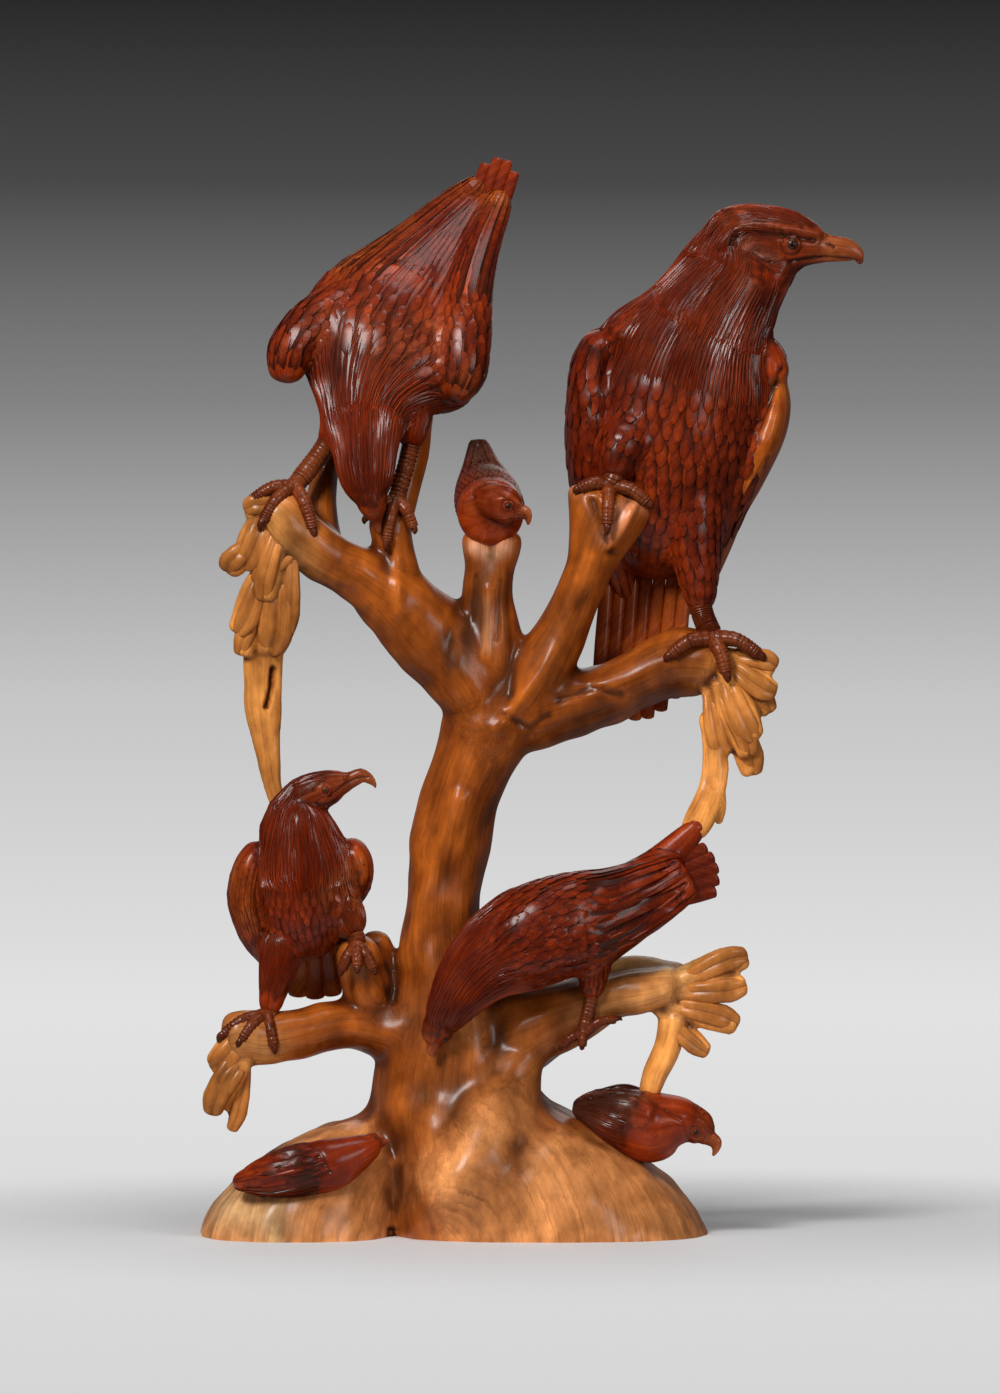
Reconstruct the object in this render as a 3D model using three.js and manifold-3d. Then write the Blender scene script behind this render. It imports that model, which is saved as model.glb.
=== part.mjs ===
// Carved hardwood tree with seven birds of prey, cut in one piece from a stump with its own foot.
// Frame: origin at the middle of the underside, +X to the viewer's right, +Y back, +Z up, millimetres.
//
// The carving is laid out on a squared pattern, the way a carver squares up a drawing. A place is
// [across, back, up], counted in squares from the middle of the pattern's lowest line, and widths are in
// squares too. A limb is a list of rows, each a place with the limb's half width and half depth there.
import * as THREE from "three";
import { mergeVertices } from "three/addons/utils/BufferGeometryUtils.js";
import Module from "manifold-3d";

// Driving dimensions
const SQUARE = 12; // mm, one square of the pattern; the carving is about 108 squares tall
const UNDERSIDE = 1.1; // squares, height of the level saw cut under the foot
const TOWARD_VIEWER = [0, -1, 0];
const JOIN_TOLERANCE = 0.9; // mm, edges shorter than this close up where two forms join
const WOOD = { color: 0x7a3c1c, roughness: 0.35, metalness: 0 };

// Trunk, foot, boughs and limbs
const TREE = [
  { // trunk
    sides: 10, rings: 10,
    rows: [
      [-4, 1, 3, 12, 12], [-5.8, 0.8, 9, 10, 10], [-7.2, 0.5, 13, 8.5, 8.6], [-7.5, 0.2, 16.6, 7.6, 7.6],
      [-7.3, 0, 20.6, 7.2, 7], [-8.2, 0, 25.4, 5.6, 5.6], [-8.9, 0, 31.6, 3.9, 4.4],
      [-8.6, 0, 36.5, 3.6, 4.1], [-8.1, 0, 40.3, 4.1, 4.3], [-7.1, 0, 44.5, 3.8, 4],
      [-5.7, 0, 48, 3.9, 4.2], [-4.4, 0, 51.6, 4.5, 4.4], [-4.3, 0, 55.6, 3.6, 4],
    ],
  },
  { // right lobe of the foot, rising into the trunk
    boxy: 2.7, sides: 12, rings: 10, cap: 1.2, level: true,
    rows: [
      [1.9, 0.5, -2, 15.8, 13.6], [1.9, 0.5, 1, 15.8, 13.6], [1.4, 0.5, 3, 15.3, 13.5],
      [0.2, 0.5, 6, 14.2, 13], [-1.4, 0.5, 8.6, 12.6, 12.2], [-3.4, 0.4, 11, 10.9, 11],
      [-5.6, 0.3, 13, 9.8, 9.4], [-7.2, 0.2, 14.8, 8, 7.8], [-7.5, 0, 17, 6.8, 6.8],
    ],
  },
  { // left lobe of the foot
    boxy: 2.7, sides: 12, rings: 8, cap: 1.2, level: true,
    rows: [
      [-23.3, 0.5, -2, 9.7, 13.4], [-23.3, 0.5, 1.6, 9.7, 13.4], [-22.9, 0.5, 3.8, 9, 13],
      [-21.6, 0.6, 6.2, 8.2, 12], [-20, 0.8, 8.6, 6.9, 10.4], [-18.4, 1, 10.6, 5, 8],
      [-16.8, 1, 12.4, 2.6, 5],
    ],
  },
  { // ridge down the front of the foot
    sides: 8, rings: 6,
    rows: [
      [-1.8, -3.4, 20, 2.8, 2.6], [-2.2, -5.8, 15.5, 3.4, 2.6], [-3.8, -8.4, 11, 4.6, 3],
      [-6, -10, 6.5, 5.4, 2.6], [-8, -10.6, 3, 4.6, 2],
    ],
  },
  { // upper left bough
    sides: 8, rings: 8,
    rows: [
      [-3.4, 0, 51, 3.6, 4.2], [-6.6, 0, 57, 4.2, 4.3], [-10.2, -0.8, 60.9, 4.2, 4],
      [-13.8, -1.8, 64.4, 3.6, 3.6], [-17, -2.8, 66.7, 2.8, 3], [-20, -3.6, 68.2, 2.5, 2.9],
      [-22.8, -4.2, 70.2, 2.7, 3], [-24.8, -4.6, 72.4, 2.8, 3], [-26.6, -4.9, 74.2, 2, 2.4],
    ],
  },
  { // back prong of the upper left bough
    sides: 5,
    rows: [
      [-20.9, -1.6, 69, 2.4, 2.4], [-20.8, 0, 74, 1.8, 2.1], [-20, 1.6, 80, 1.3, 1.8],
      [-18.6, 2.4, 85.5, 1.2, 1.5],
    ],
  },
  { // stub under the stooping eagle's middle
    sides: 6,
    rows: [
      [-11.6, -1, 62.5, 2.9, 2.8], [-13.2, -1.8, 67.5, 2, 2.3], [-13.9, -2.4, 71, 2.1, 2.3],
      [-14.4, -2.6, 73.6, 1.9, 1.9],
    ],
  },
  { // back prong beside the stub
    sides: 5,
    rows: [
      [-13.6, -0.6, 67, 1.8, 2], [-13, 0, 73.2, 1.4, 1.9], [-11.7, 0.4, 78.6, 1.5, 1.6],
      [-10.8, 0.6, 84.4, 1.3, 1.4],
    ],
  },
  { // middle bough, under the falcon
    sides: 8,
    rows: [
      [-4.4, 0, 53, 3.6, 4], [-4.2, -0.4, 60.5, 3.2, 3.3], [-4.3, -1, 65, 2.5, 2.6],
      [-4.1, -1, 68.2, 2.4, 2.6], [-3.9, -1.4, 71, 2.8, 3],
    ],
  },
  { // inner bough, under the great eagle's left foot
    sides: 8, rings: 7,
    rows: [
      [-3, 0, 51.4, 3.6, 4], [1, -0.6, 57.4, 3.2, 3.4], [3.6, -1.2, 62.3, 2.5, 2.8],
      [5.5, -2, 66.8, 2.3, 2.6], [6.9, -2.8, 70.2, 3, 2.9], [7.8, -3.4, 73, 3.8, 3],
      [8, -3.6, 75.6, 3.6, 2.6],
    ],
  },
  { // right bough, under the great eagle's right foot
    sides: 8, rings: 7,
    rows: [
      [-3.6, 0, 50.6, 3.2, 4.2], [2.2, 0.5, 53.4, 3.5, 4], [6.6, 0.5, 54.6, 3.3, 3.6],
      [10.6, 0.2, 56.4, 3.1, 3.4], [14.2, -0.6, 58, 3.4, 3.4], [17.2, -1.6, 57.9, 3.3, 3.2],
      [19.4, -2.2, 57, 2.4, 2.6],
    ],
  },
  { // lower left limb
    sides: 8, rings: 7,
    rows: [
      [-8, 0, 20, 5, 5.6], [-14.6, -0.8, 21.6, 3.2, 3.8], [-18.6, -1.8, 22, 2.4, 2.9],
      [-22.2, -2.8, 21.3, 2.5, 2.8], [-25.8, -3.8, 20.7, 2.6, 2.8], [-28.8, -4.8, 20.4, 2.6, 2.6],
      [-30.4, -5.2, 19.6, 1.8, 2],
    ],
  },
  { // knob under the lower left eagle's right foot
    sides: 6,
    rows: [
      [-15, -1, 23, 3.2, 3.6], [-16.8, -2.2, 27, 2.3, 2.7], [-17.2, -3, 29.4, 2.1, 2.4],
      [-17.2, -3.2, 31, 1.5, 1.7],
    ],
  },
  { // hump behind the knob
    sides: 5, rings: 4,
    rows: [
      [-14.8, 0.2, 25.5, 2.6, 2.6], [-15.4, 0.8, 29, 1.9, 2.1], [-15.9, 0.8, 31.2, 1.3, 1.5],
    ],
  },
  { // lower right limb
    sides: 8, rings: 7,
    rows: [
      [-5, -0.5, 19.5, 6, 6.4], [0.4, -2.4, 21.8, 4, 4.6], [4.4, -3.6, 23.6, 2.8, 3.4],
      [8, -4.4, 24.8, 2.2, 2.8], [11.6, -4.8, 25.5, 2.1, 2.6], [14.8, -5, 26.1, 2.1, 2.2],
    ],
  },
  { // back of the lower right limb
    sides: 5,
    rows: [
      [4, -1.8, 25, 2.2, 2.4], [8.4, -1.6, 26.8, 1.7, 2.4], [12.4, -2.4, 27.1, 1.5, 2.2],
      [15.6, -3.6, 26.6, 1.2, 1.6],
    ],
  },
];

// Pale strips of sapwood, each left as a tie between a spray of leaves and the bird below it
const TIES = [
  [
    [-26.4, -3.6, 63, 2, 1.3], [-26.8, -3, 56.6, 2, 1], [-26.7, -2.6, 52.5, 1.8, 0.9],
    [-26.2, -2.4, 48.6, 1.1, 0.9], [-25.7, -2.4, 45.6, 0.9, 0.9], [-24.6, -2.8, 42.5, 1, 0.9],
  ],
  [
    [17.8, -2.8, 53.5, 1.5, 1.3], [18.3, -3, 49.4, 1.3, 1], [18, -3.6, 45.8, 1.5, 0.9],
    [17, -4.6, 43, 1.6, 0.9], [15.6, -5.4, 40.6, 1.2, 1],
  ],
  [[18.3, -3.6, 45.8, 1, 0.7], [18.7, -3.8, 43.4, 0.8, 0.6], [18.7, -3.8, 41.8, 0.4, 0.3]],
  [
    [14, -5, 23.8, 1.8, 1.6], [12.9, -4.8, 20, 1.5, 1.3], [11.6, -4.6, 17, 1.4, 1.3],
    [11, -4.4, 14, 1.4, 1.3],
  ],
];

// Sprays of leaf lobes: each lobe is its root's place, its tip's place and its half width
const SPRAYS = [
  [[-26, -5.5, 73.6], [-29, -5.4, 67.6], 1.5],
  [[-24.6, -6, 73], [-26.2, -6, 64], 1.1],
  [[-26.2, -5.2, 68], [-29.6, -4.8, 61], 1.2],
  [[-25.6, -4.6, 67], [-28.6, -4.2, 58.6], 1],
  [[-23.4, -5.6, 71], [-24.2, -5, 58.4], 0.9],
  [[-25, -4.8, 69], [-26.4, -4, 58.8], 1.8],
  [[18.6, -3, 59], [24.6, -4.4, 55.6], 1.2],
  [[19.4, -2.6, 58], [23.6, -3.6, 52.8], 1],
  [[18.8, -3.6, 57.6], [22.8, -4.4, 51.2], 1.3],
  [[18.2, -3.6, 56.6], [21.4, -4, 48.6], 1.2],
  [[17.4, -3.2, 56], [19.6, -3.2, 48.8], 1.1],
  [[19.6, -2.6, 55], [21.8, -2.8, 47.2], 1.2],
  [[-28.6, -5.6, 20.6], [-31.7, -5.8, 13.8], 1.3],
  [[-28.2, -5.8, 19], [-30.4, -6, 14.6], 1.1],
  [[-27.8, -5, 20], [-29.6, -4.8, 11.6], 1],
  [[13.4, -4.8, 26], [19.6, -5, 29.4], 0.9],
  [[14, -5.2, 26], [21.6, -5.8, 28.6], 1.25],
  [[13.6, -5.4, 25.2], [21.3, -6.2, 26.4], 1.2],
  [[13, -5.2, 24.4], [20.4, -5.8, 21.7], 1.2],
  [[12, -5, 24], [17.8, -5.4, 19.5], 0.9],
];

// The birds. Rows run from the neck to the rump, and on a wing from the wrist to the primaries. A head has
// its middle, its half height and the way it faces; a leg has its thigh, its ankle and its toes' tips.
const BIRDS = [
  { // eagle stooping over the left bough, its back to the viewer and its tail up
    body: [
      [-15.8, -6, 73.6, 1.5, 1.7], [-16.3, -5.6, 76.3, 2.7, 2.6], [-16.5, -4.8, 79.6, 3.3, 3.2],
      [-16.6, -3.3, 83, 4.5, 3.9], [-15.9, -1.7, 86, 7.2, 4.8], [-14.5, 0, 89, 9.6, 5.4],
      [-12.3, 1.9, 93, 8.9, 5], [-9.7, 3.7, 97.2, 6.4, 3.8], [-7.2, 5.6, 101.4, 4.2, 2.6],
      [-4.8, 7.2, 105.4, 2.5, 1.7],
    ],
    wings: [
      [
        [-24.5, -3.4, 86.2, 1.7, 1.7], [-24.2, -3.2, 89, 2.3, 2.3], [-22, -2, 92.4, 2.8, 2.7],
        [-18.4, -0.2, 95, 2.9, 2.7], [-14.2, 2.2, 98.3, 2.6, 2.2], [-10.2, 4.6, 101.8, 2, 1.6],
        [-6.4, 6.8, 105.4, 1.3, 1],
      ],
      [
        [-7.9, -3.4, 84, 1.7, 1.8], [-6.9, -3, 87, 2.4, 2.5], [-6.7, -1.6, 90.8, 2.7, 2.9],
        [-6.3, 0.4, 95, 2.4, 2.6], [-5.3, 3, 99.6, 2, 1.9], [-3.8, 6, 104, 1.3, 1.1],
      ],
    ],
    tail: {
      root: [-5.5, 6.2, 102.2], tip: [-3.3, 8.8, 109.2], widths: [3, 4],
      thick: 0.9, facing: [0, -0.9, 0.4], feathers: 4,
    },
    head: {
      at: [-15.9, -6.1, 73.4], size: 1.5, facing: [0.16, 0.2, -1],
      up: [0, -1, -0.15], reach: 0.9,
    },
    legs: [
      {
        thigh: [[-18.4, -1.4, 86, 2.4, 2.8], [-20, -2.4, 81.6, 1.4, 1.7], [-20.8, -2.9, 79.6, 1, 1.2]],
        ankle: [-23.4, -4.8, 75.6], thick: 0.9,
        toes: [[-28.4, -5.6, 73.2], [-26.9, -6.8, 71], [-21.5, -6.2, 70.2]],
      },
      {
        thigh: [[-11.4, -1, 87, 2.6, 2.6], [-11.7, -2, 81.6, 1.5, 1.7], [-12, -2.4, 79.4, 1, 1.2]],
        ankle: [-13.4, -3.6, 74.4], thick: 0.8,
        toes: [[-11.6, -3.8, 70.8], [-14.4, -4.6, 69], [-16.6, -3.6, 71.8]],
      },
    ],
  },
  { // great eagle on the right, its breast to the viewer and its head in profile
    body: [
      [22.6, -0.6, 99.6, 3.2, 3], [21, -0.4, 97.2, 4.9, 4.5], [18.6, 0, 93.6, 6, 5.6],
      [16.5, 0.5, 89.6, 7.8, 6.8], [15.3, 1, 85.5, 8.8, 7.4], [14.4, 1.4, 80.4, 8.8, 7.4],
      [13.6, 2, 75.4, 7.6, 6.8], [12.8, 3, 70.8, 5.6, 5.4], [12.2, 4, 66.6, 3.2, 3.4],
    ],
    wings: [
      [
        [7.2, 0, 91.4, 1.6, 2.4], [5.9, 0.6, 88, 2.5, 4.4], [5.5, 1.4, 84, 2.6, 5.6],
        [5.7, 2.4, 80, 2.5, 5.6], [6.6, 3.6, 75, 2.6, 4.8], [8.4, 5.2, 69, 2.2, 3.6],
        [10.2, 6.4, 63, 1.5, 2],
      ],
      [
        [24.7, 0.2, 87, 1.4, 2], [24.6, 0.8, 83.6, 1.8, 3.8], [23.6, 1.6, 80.2, 1.9, 4.8],
        [22, 2.6, 76.6, 1.8, 4.8], [20.2, 3.6, 72.8, 1.6, 4.2], [18, 5, 68, 1.4, 3.2],
        [15.6, 6.2, 63, 1.2, 1.6],
      ],
    ],
    tail: {
      root: [12.4, 4.2, 67.5], tip: [9.9, 3.6, 53.2], widths: [7, 8.2],
      thick: 0.9, facing: [0, -1, 0], feathers: 5,
    },
    head: {
      at: [22.9, -0.8, 100.4], size: 3.2, facing: [1, -0.06, -0.07],
      up: [0.07, 0, 1], reach: 1.43, brows: true, jaw: true,
    },
    legs: [
      {
        thigh: [[10.6, -3, 82, 3.4, 3.6], [8.8, -4.4, 78.4, 2.2, 2.4], [8.2, -5, 76.4, 1.3, 1.5]],
        ankle: [7.9, -5.2, 76], thick: 1.1,
        toes: [[7.2, -6.6, 70.8], [3.8, -5, 74.4], [12, -5.2, 72.6]],
      },
      {
        thigh: [[17, -0.6, 76, 3.4, 4], [16.5, -1.4, 70, 2.7, 3], [16.5, -2.2, 64.6, 1.8, 2]],
        ankle: [18, -3.6, 60.6], thick: 1,
        toes: [[19.5, -5, 56], [13.3, -4, 58], [23.4, -4.4, 58.8]],
      },
    ],
  },
  { // falcon on the middle bough, seen from the front with its tail up behind
    facing: [0, 0, 1],
    body: [
      [-3.9, -4, 73, 2.2, 2.4], [-4, -2.4, 73.2, 3.3, 3.3], [-4.4, 0.4, 74.6, 3.2, 3.2],
      [-5, 3.4, 77, 2, 1.9], [-5.4, 5, 79.8, 0.9, 0.8],
    ],
    wings: [
      [
        [-6.6, -1.6, 73.2, 0.9, 1.9], [-6.6, 0.8, 75, 1, 2], [-6, 3.2, 77.8, 0.8, 1.5],
        [-5.6, 5, 80.4, 0.5, 0.6],
      ],
      [
        [-1.5, -1.4, 73.6, 0.9, 1.9], [-2.4, 1, 75.6, 1, 2], [-4, 3.2, 78, 0.8, 1.4],
        [-5.1, 4.8, 80.4, 0.5, 0.6],
      ],
    ],
    head: {
      at: [-2.6, -4.4, 73.8], size: 1.5, facing: [0.86, -0.5, -0.2],
      up: [0, -0.1, 1], reach: 0.85,
    },
  },
  { // eagle on the lower left limb, its head turned up to the right
    body: [
      [-22.8, -4, 45, 2.2, 2.2], [-22.9, -3.9, 42.4, 3.2, 3.2], [-22.7, -3.4, 39.4, 4.4, 4.1],
      [-22.4, -2.8, 35.6, 5, 4.6], [-22.2, -2.4, 32, 4.6, 4.3], [-21.8, -1.8, 29, 3.2, 3.2],
      [-21.6, -1.2, 27.4, 1.8, 2],
    ],
    wings: [
      [
        [-26.6, -3, 40, 1.3, 1.6], [-28, -2.6, 37.6, 1.7, 2.6], [-28.5, -2, 34.4, 1.8, 3],
        [-27.6, -1.2, 31.2, 1.6, 2.8], [-25.6, 0.4, 28.4, 1.4, 1.9], [-23.6, 1.6, 26.4, 1, 1],
      ],
      [
        [-17.8, -2.8, 39.8, 1.2, 1.5], [-17, -2.2, 37.2, 1.4, 2.4], [-17.6, -1.2, 34.6, 1.4, 2.6],
        [-18.8, 0.2, 31.4, 1.4, 2], [-20.6, 1.4, 28, 1, 1.2],
      ],
    ],
    tail: {
      root: [-22, 0.2, 30], tip: [-22.3, 1.6, 24.8], widths: [4.6, 5.6],
      thick: 0.8, facing: [0, -1, -0.2], feathers: 5,
    },
    head: {
      at: [-22.6, -4.2, 45.3], size: 2.1, facing: [0.94, -0.16, 0.26],
      up: [-0.26, 0, 0.94], reach: 1.35, brows: true, jaw: true,
    },
    legs: [
      {
        thigh: [[-24.6, -3.2, 31.6, 2.6, 2.8], [-25.3, -3.8, 27.6, 1.8, 2], [-25.9, -4.3, 24, 1.1, 1.2]],
        ankle: [-26.3, -5, 23], thick: 0.8,
        toes: [[-31.1, -6, 20.4], [-29.1, -6.8, 19.8], [-25.4, -6.2, 19.2]],
      },
      {
        thigh: [[-19.8, -3.4, 33, 2.6, 2.8], [-18.5, -4.1, 31.2, 1.7, 1.8], [-18, -4.5, 30.5, 1, 1.2]],
        ankle: [-17.6, -5, 29.7], thick: 0.8,
        toes: [[-15.8, -4.8, 27.9], [-19.1, -4.4, 27.2]],
      },
    ],
  },
  { // eagle feeding on the lower right limb, its head down to the left and its tail up
    body: [
      [-9.3, -8.6, 21.8, 1.6, 1.8], [-8, -8.8, 24.6, 2.8, 2.9], [-5.4, -8.8, 28.2, 4.2, 4],
      [-1.2, -8.6, 31, 5.2, 4.4], [3.4, -8, 32.6, 5, 4], [7.8, -7.2, 34, 4.2, 3.2],
      [12, -6.4, 36, 3.2, 2.2], [15.4, -5.8, 38, 2.4, 1.2],
    ],
    wings: [
      [
        [-3.8, -11.6, 28.6, 1.6, 1], [-1, -12.2, 30.4, 3.4, 1.3], [3.4, -11.6, 32.4, 3.8, 1.3],
        [8, -9.9, 34.7, 3, 1.2], [12.2, -8.1, 36.9, 2.2, 1], [15.4, -7, 38.4, 1.2, 0.7],
      ],
      [
        [-4, -5.2, 29.6, 1.8, 1], [-1.2, -4.6, 32, 3.6, 1.3], [3.2, -4.2, 33.8, 4, 1.3],
        [8, -4.2, 35.6, 3.2, 1.2], [12.2, -4.7, 37.5, 2.4, 1], [15.2, -5, 38.7, 1.3, 0.7],
      ],
    ],
    tail: {
      root: [12, -6.2, 36.2], tip: [18.1, -5.4, 38.6], widths: [4.8, 6.4],
      thick: 0.8, facing: [0.1, -1, 0], feathers: 5,
    },
    head: {
      at: [-9.1, -8.7, 21.9], size: 1.6, facing: [-0.42, -0.06, -0.9],
      up: [-0.88, -0.2, 0.42], reach: 0.75,
    },
    legs: [
      {
        thigh: [[6, -7, 30, 2.4, 2.4], [6.1, -7.2, 26.8, 1.4, 1.5], [5.9, -7.2, 24.8, 0.9, 1]],
        ankle: [5.2, -7, 21.4], thick: 0.65,
        toes: [[9, -6.6, 22.6], [2.9, -6.6, 19.6], [5, -7.4, 19.7]],
      },
    ],
  },
  { // small bird peering out at the right end of the foot
    body: [
      [16.6, -4.8, 11.6, 1.8, 1.9], [14.4, -4.8, 12.2, 2.6, 2.6], [11.6, -4.4, 12, 3.7, 3.6],
      [8.6, -3.8, 12.8, 3, 3.6], [6, -3, 13.5, 1.6, 2.6], [4.2, -2.6, 13.8, 0.8, 1.4],
    ],
    wings: [
      [
        [12.2, -7.2, 12.6, 1.4, 1.1], [9.4, -6.8, 13.6, 1.8, 1.1], [6.6, -5.4, 14, 1.3, 0.9],
        [4.4, -4, 14, 0.6, 0.5],
      ],
      [
        [12.2, -2, 13.8, 1.4, 1.1], [9.4, -1.4, 14.6, 1.8, 1.1], [6.6, -1.4, 14.8, 1.3, 0.9],
        [4.6, -1.8, 14.4, 0.6, 0.5],
      ],
    ],
    head: {
      at: [15.8, -4.9, 11.8], size: 1.75, facing: [0.84, -0.2, -0.5],
      up: [0.5, 0, 0.84], reach: 0.8,
    },
  },
  { // bird lying in relief on the left lobe of the foot
    body: [
      [-15, -9.6, 10.8, 0.9, 1], [-16.8, -10.2, 9.9, 1.7, 1.7], [-19.8, -10.8, 8.6, 2.6, 2.3],
      [-23.2, -11, 7.9, 2.6, 2.3], [-26.8, -10.8, 7.2, 1.7, 1.7], [-29.4, -10.4, 6.8, 0.6, 0.7],
    ],
    wings: [
      [
        [-18.6, -12, 8.9, 1.4, 1.4], [-21.6, -12.6, 8.1, 2, 1.4], [-25.4, -12.2, 7.4, 1.6, 1.2],
        [-29.2, -11, 6.7, 0.6, 0.6],
      ],
    ],
    head: {
      at: [-15.8, -9.8, 10.5], size: 1.1, facing: [0.9, 0.1, 0.3],
      up: [-0.3, -0.3, 0.9], reach: 0.7,
    },
  },
];

const vector = (place) => new THREE.Vector3(...place);
const between = (a, b, share) => a.map((v, i) => v + (b[i] - v) * share);

// Draws a ball out into a limb along its rows: oval in section, or squarer where boxy is over 2, and rounded
// off over its last half width, or over the cap. Level sections stay flat, not square to the limb's line.
function limb(rows, options = {}) {
  const {
    facing = TOWARD_VIEWER, sides = 6, rings = 5, boxy = 2, cap = Infinity, level = false, blunt = 1,
  } = options;
  const places = rows.map((row) => vector(row.slice(0, 3)).multiplyScalar(SQUARE));
  const sizes = rows.map((row) => new THREE.Vector3(row[3], row[4], 0).multiplyScalar(SQUARE));
  const line = new THREE.CatmullRomCurve3(places, false, "centripetal");
  const halves = new THREE.CatmullRomCurve3(sizes);
  const length = line.getLength();
  const front = vector(facing).normalize();
  const ball = new THREE.SphereGeometry(1, sides, rings);
  ball.deleteAttribute("normal");
  ball.deleteAttribute("uv");
  const points = ball.getAttribute("position");
  for (let i = 0; i < points.count; i++) {
    const height = THREE.MathUtils.clamp(points.getY(i), -1, 1);
    const along = (1 - Math.sign(height) * Math.abs(height) ** blunt) / 2;
    const around = Math.atan2(points.getZ(i), points.getX(i));
    const half = halves.getPoint(along);
    const heading = level ? new THREE.Vector3(0, 0, 1) : line.getTangent(along);
    const side = new THREE.Vector3().crossVectors(front, heading).normalize();
    const outward = new THREE.Vector3().crossVectors(heading, side);
    const rounding = Math.min(half.x, half.y, cap * SQUARE);
    const inset = Math.min(1, (Math.min(along, 1 - along) * length) / rounding);
    const fullness = Math.sqrt(inset * (2 - inset));
    const c = Math.cos(around);
    const s = Math.sin(around);
    const oval = fullness / (Math.abs(c) ** boxy + Math.abs(s) ** boxy) ** (1 / boxy);
    const point = line.getPoint(along);
    point.addScaledVector(side, c * half.x * oval);
    point.addScaledVector(outward, s * half.y * oval);
    points.setXYZ(i, point.x, point.y, point.z);
  }
  return ball;
}

// One leaf lobe, full to its rounded tip.
function leafForm([root, tip, half]) {
  const rows = [
    [...root, half * 0.7, half * 0.7],
    [...between(root, tip, 0.55), half, half * 0.85],
    [...tip, half * 0.8, half * 0.6],
  ];
  return limb(rows, { sides: 4, rings: 3, blunt: 0.5 });
}

// Skull, hooked beak, jaw and brows, laid out in half heights of the skull: ahead, to the left, upward.
function headForms({ at, size, facing, up, reach, brows = false, jaw = false }) {
  const ahead = vector(facing).normalize();
  const left = vector(up).cross(ahead).normalize();
  const top = new THREE.Vector3().crossVectors(ahead, left);
  const row = (forward, leftward, upward, halfHigh, halfWide) => {
    const place = vector(at);
    place.addScaledVector(ahead, forward * size);
    place.addScaledVector(left, leftward * size);
    place.addScaledVector(top, upward * size);
    return [...place.toArray(), halfHigh * size, halfWide * size];
  };
  const across = left.toArray();
  const skull = [
    row(-1.5, 0, -0.1, 0.8, 0.7), row(-0.5, 0, 0.06, 1, 0.86),
    row(0.4 * reach, 0, 0.05, 0.86, 0.72), row(1.15 * reach, 0, -0.06, 0.5, 0.44),
  ];
  const beak = [
    row(0.7, 0, -0.02, 0.46, 0.36), row(1.4 * reach, 0, -0.02, 0.4, 0.3),
    row(1.95 * reach, 0, -0.14, 0.3, 0.22),
    row(2.2 * reach, 0, -0.42, 0.16, 0.13), row(2.18 * reach, 0, -0.74, 0.06, 0.06),
  ];
  const forms = [
    limb(skull, { facing: across, sides: 6, rings: 4 }),
    limb(beak, { facing: across, sides: 4, rings: 5 }),
  ];
  if (jaw) {
    const rows = [
      row(0.1, 0, -0.5, 0.5, 0.5), row(0.9 * reach, 0, -0.5, 0.3, 0.34),
      row(1.7 * reach, 0, -0.36, 0.1, 0.16),
    ];
    forms.push(limb(rows, { facing: across, sides: 5, rings: 3 }));
  }
  for (const hand of brows ? [-1, 1] : []) {
    const rows = [
      row(-0.3, 0.6 * hand, 0.36, 0.16, 0.2), row(0.5, 0.56 * hand, 0.4, 0.16, 0.2),
      row(1.15, 0.34 * hand, 0.24, 0.1, 0.12),
    ];
    forms.push(limb(rows, { facing: across, sides: 4, rings: 3 }));
  }
  return forms;
}

// Tail feathers side by side, the outer ones a little shorter.
function tailForms({ root, tip, widths, thick, facing, feathers }) {
  const spread = vector(tip).sub(vector(root)).cross(vector(facing)).normalize();
  const half = (0.62 * widths[1]) / feathers;
  const forms = [];
  for (let i = 0; i < feathers; i++) {
    const share = (i + 0.5) / feathers - 0.5;
    const from = vector(root).addScaledVector(spread, share * widths[0]).toArray();
    const to = vector(tip).addScaledVector(spread, share * widths[1]).toArray();
    const end = between(to, from, 0.9 * share * share);
    const rows = [
      [...from, half * 0.8, thick],
      [...between(from, end, 0.6), half, thick * 0.9],
      [...end, half * 0.9, thick * 0.7],
    ];
    forms.push(limb(rows, { facing, sides: 4, rings: 3, blunt: 0.5 }));
  }
  return forms;
}

// Feathered thigh, bare shank and arched toes that end in claws.
function legForms({ thigh, ankle, thick, toes }) {
  const middle = thigh[1].slice(0, 3);
  const knee = thigh[2].slice(0, 3);
  const shank = [middle, knee, ankle].map((place) => [...place, thick, thick]);
  const heel = between(knee, ankle, 0.75);
  const forms = [limb(thigh, { sides: 5, rings: 4 }), limb(shank, { sides: 5, rings: 3 })];
  for (const tip of toes) {
    const run = vector(tip).sub(vector(ankle));
    const lift = new THREE.Vector3(0, -0.7, 0.7);
    lift.addScaledVector(run, -lift.dot(run) / run.lengthSq()).normalize().multiplyScalar(run.length() * 0.2);
    const knuckle = vector(between(ankle, tip, 0.55)).add(lift).toArray();
    const rows = [heel, ankle, knuckle].map((place) => [...place, thick * 0.82, thick * 0.82]);
    forms.push(limb([...rows, [...tip, thick * 0.35, thick * 0.35]], { sides: 4, rings: 4 }));
  }
  return forms;
}

function birdForms({ facing = TOWARD_VIEWER, body, wings, tail, head, legs = [] }) {
  return [
    limb(body, { facing, sides: 8, rings: 6 }),
    ...wings.map((rows) => limb(rows, { sides: 5, rings: 5 })),
    ...(tail ? tailForms(tail) : []),
    ...headForms(head),
    ...legs.flatMap(legForms),
  ];
}

// The stock sawn away under the foot
function sawnStock() {
  const width = 200 * SQUARE;
  const depth = 20 * SQUARE;
  const stock = new THREE.BoxGeometry(width, width, depth);
  stock.translate(0, 0, UNDERSIDE * SQUARE - depth / 2);
  stock.deleteAttribute("normal");
  stock.deleteAttribute("uv");
  return stock;
}

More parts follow.
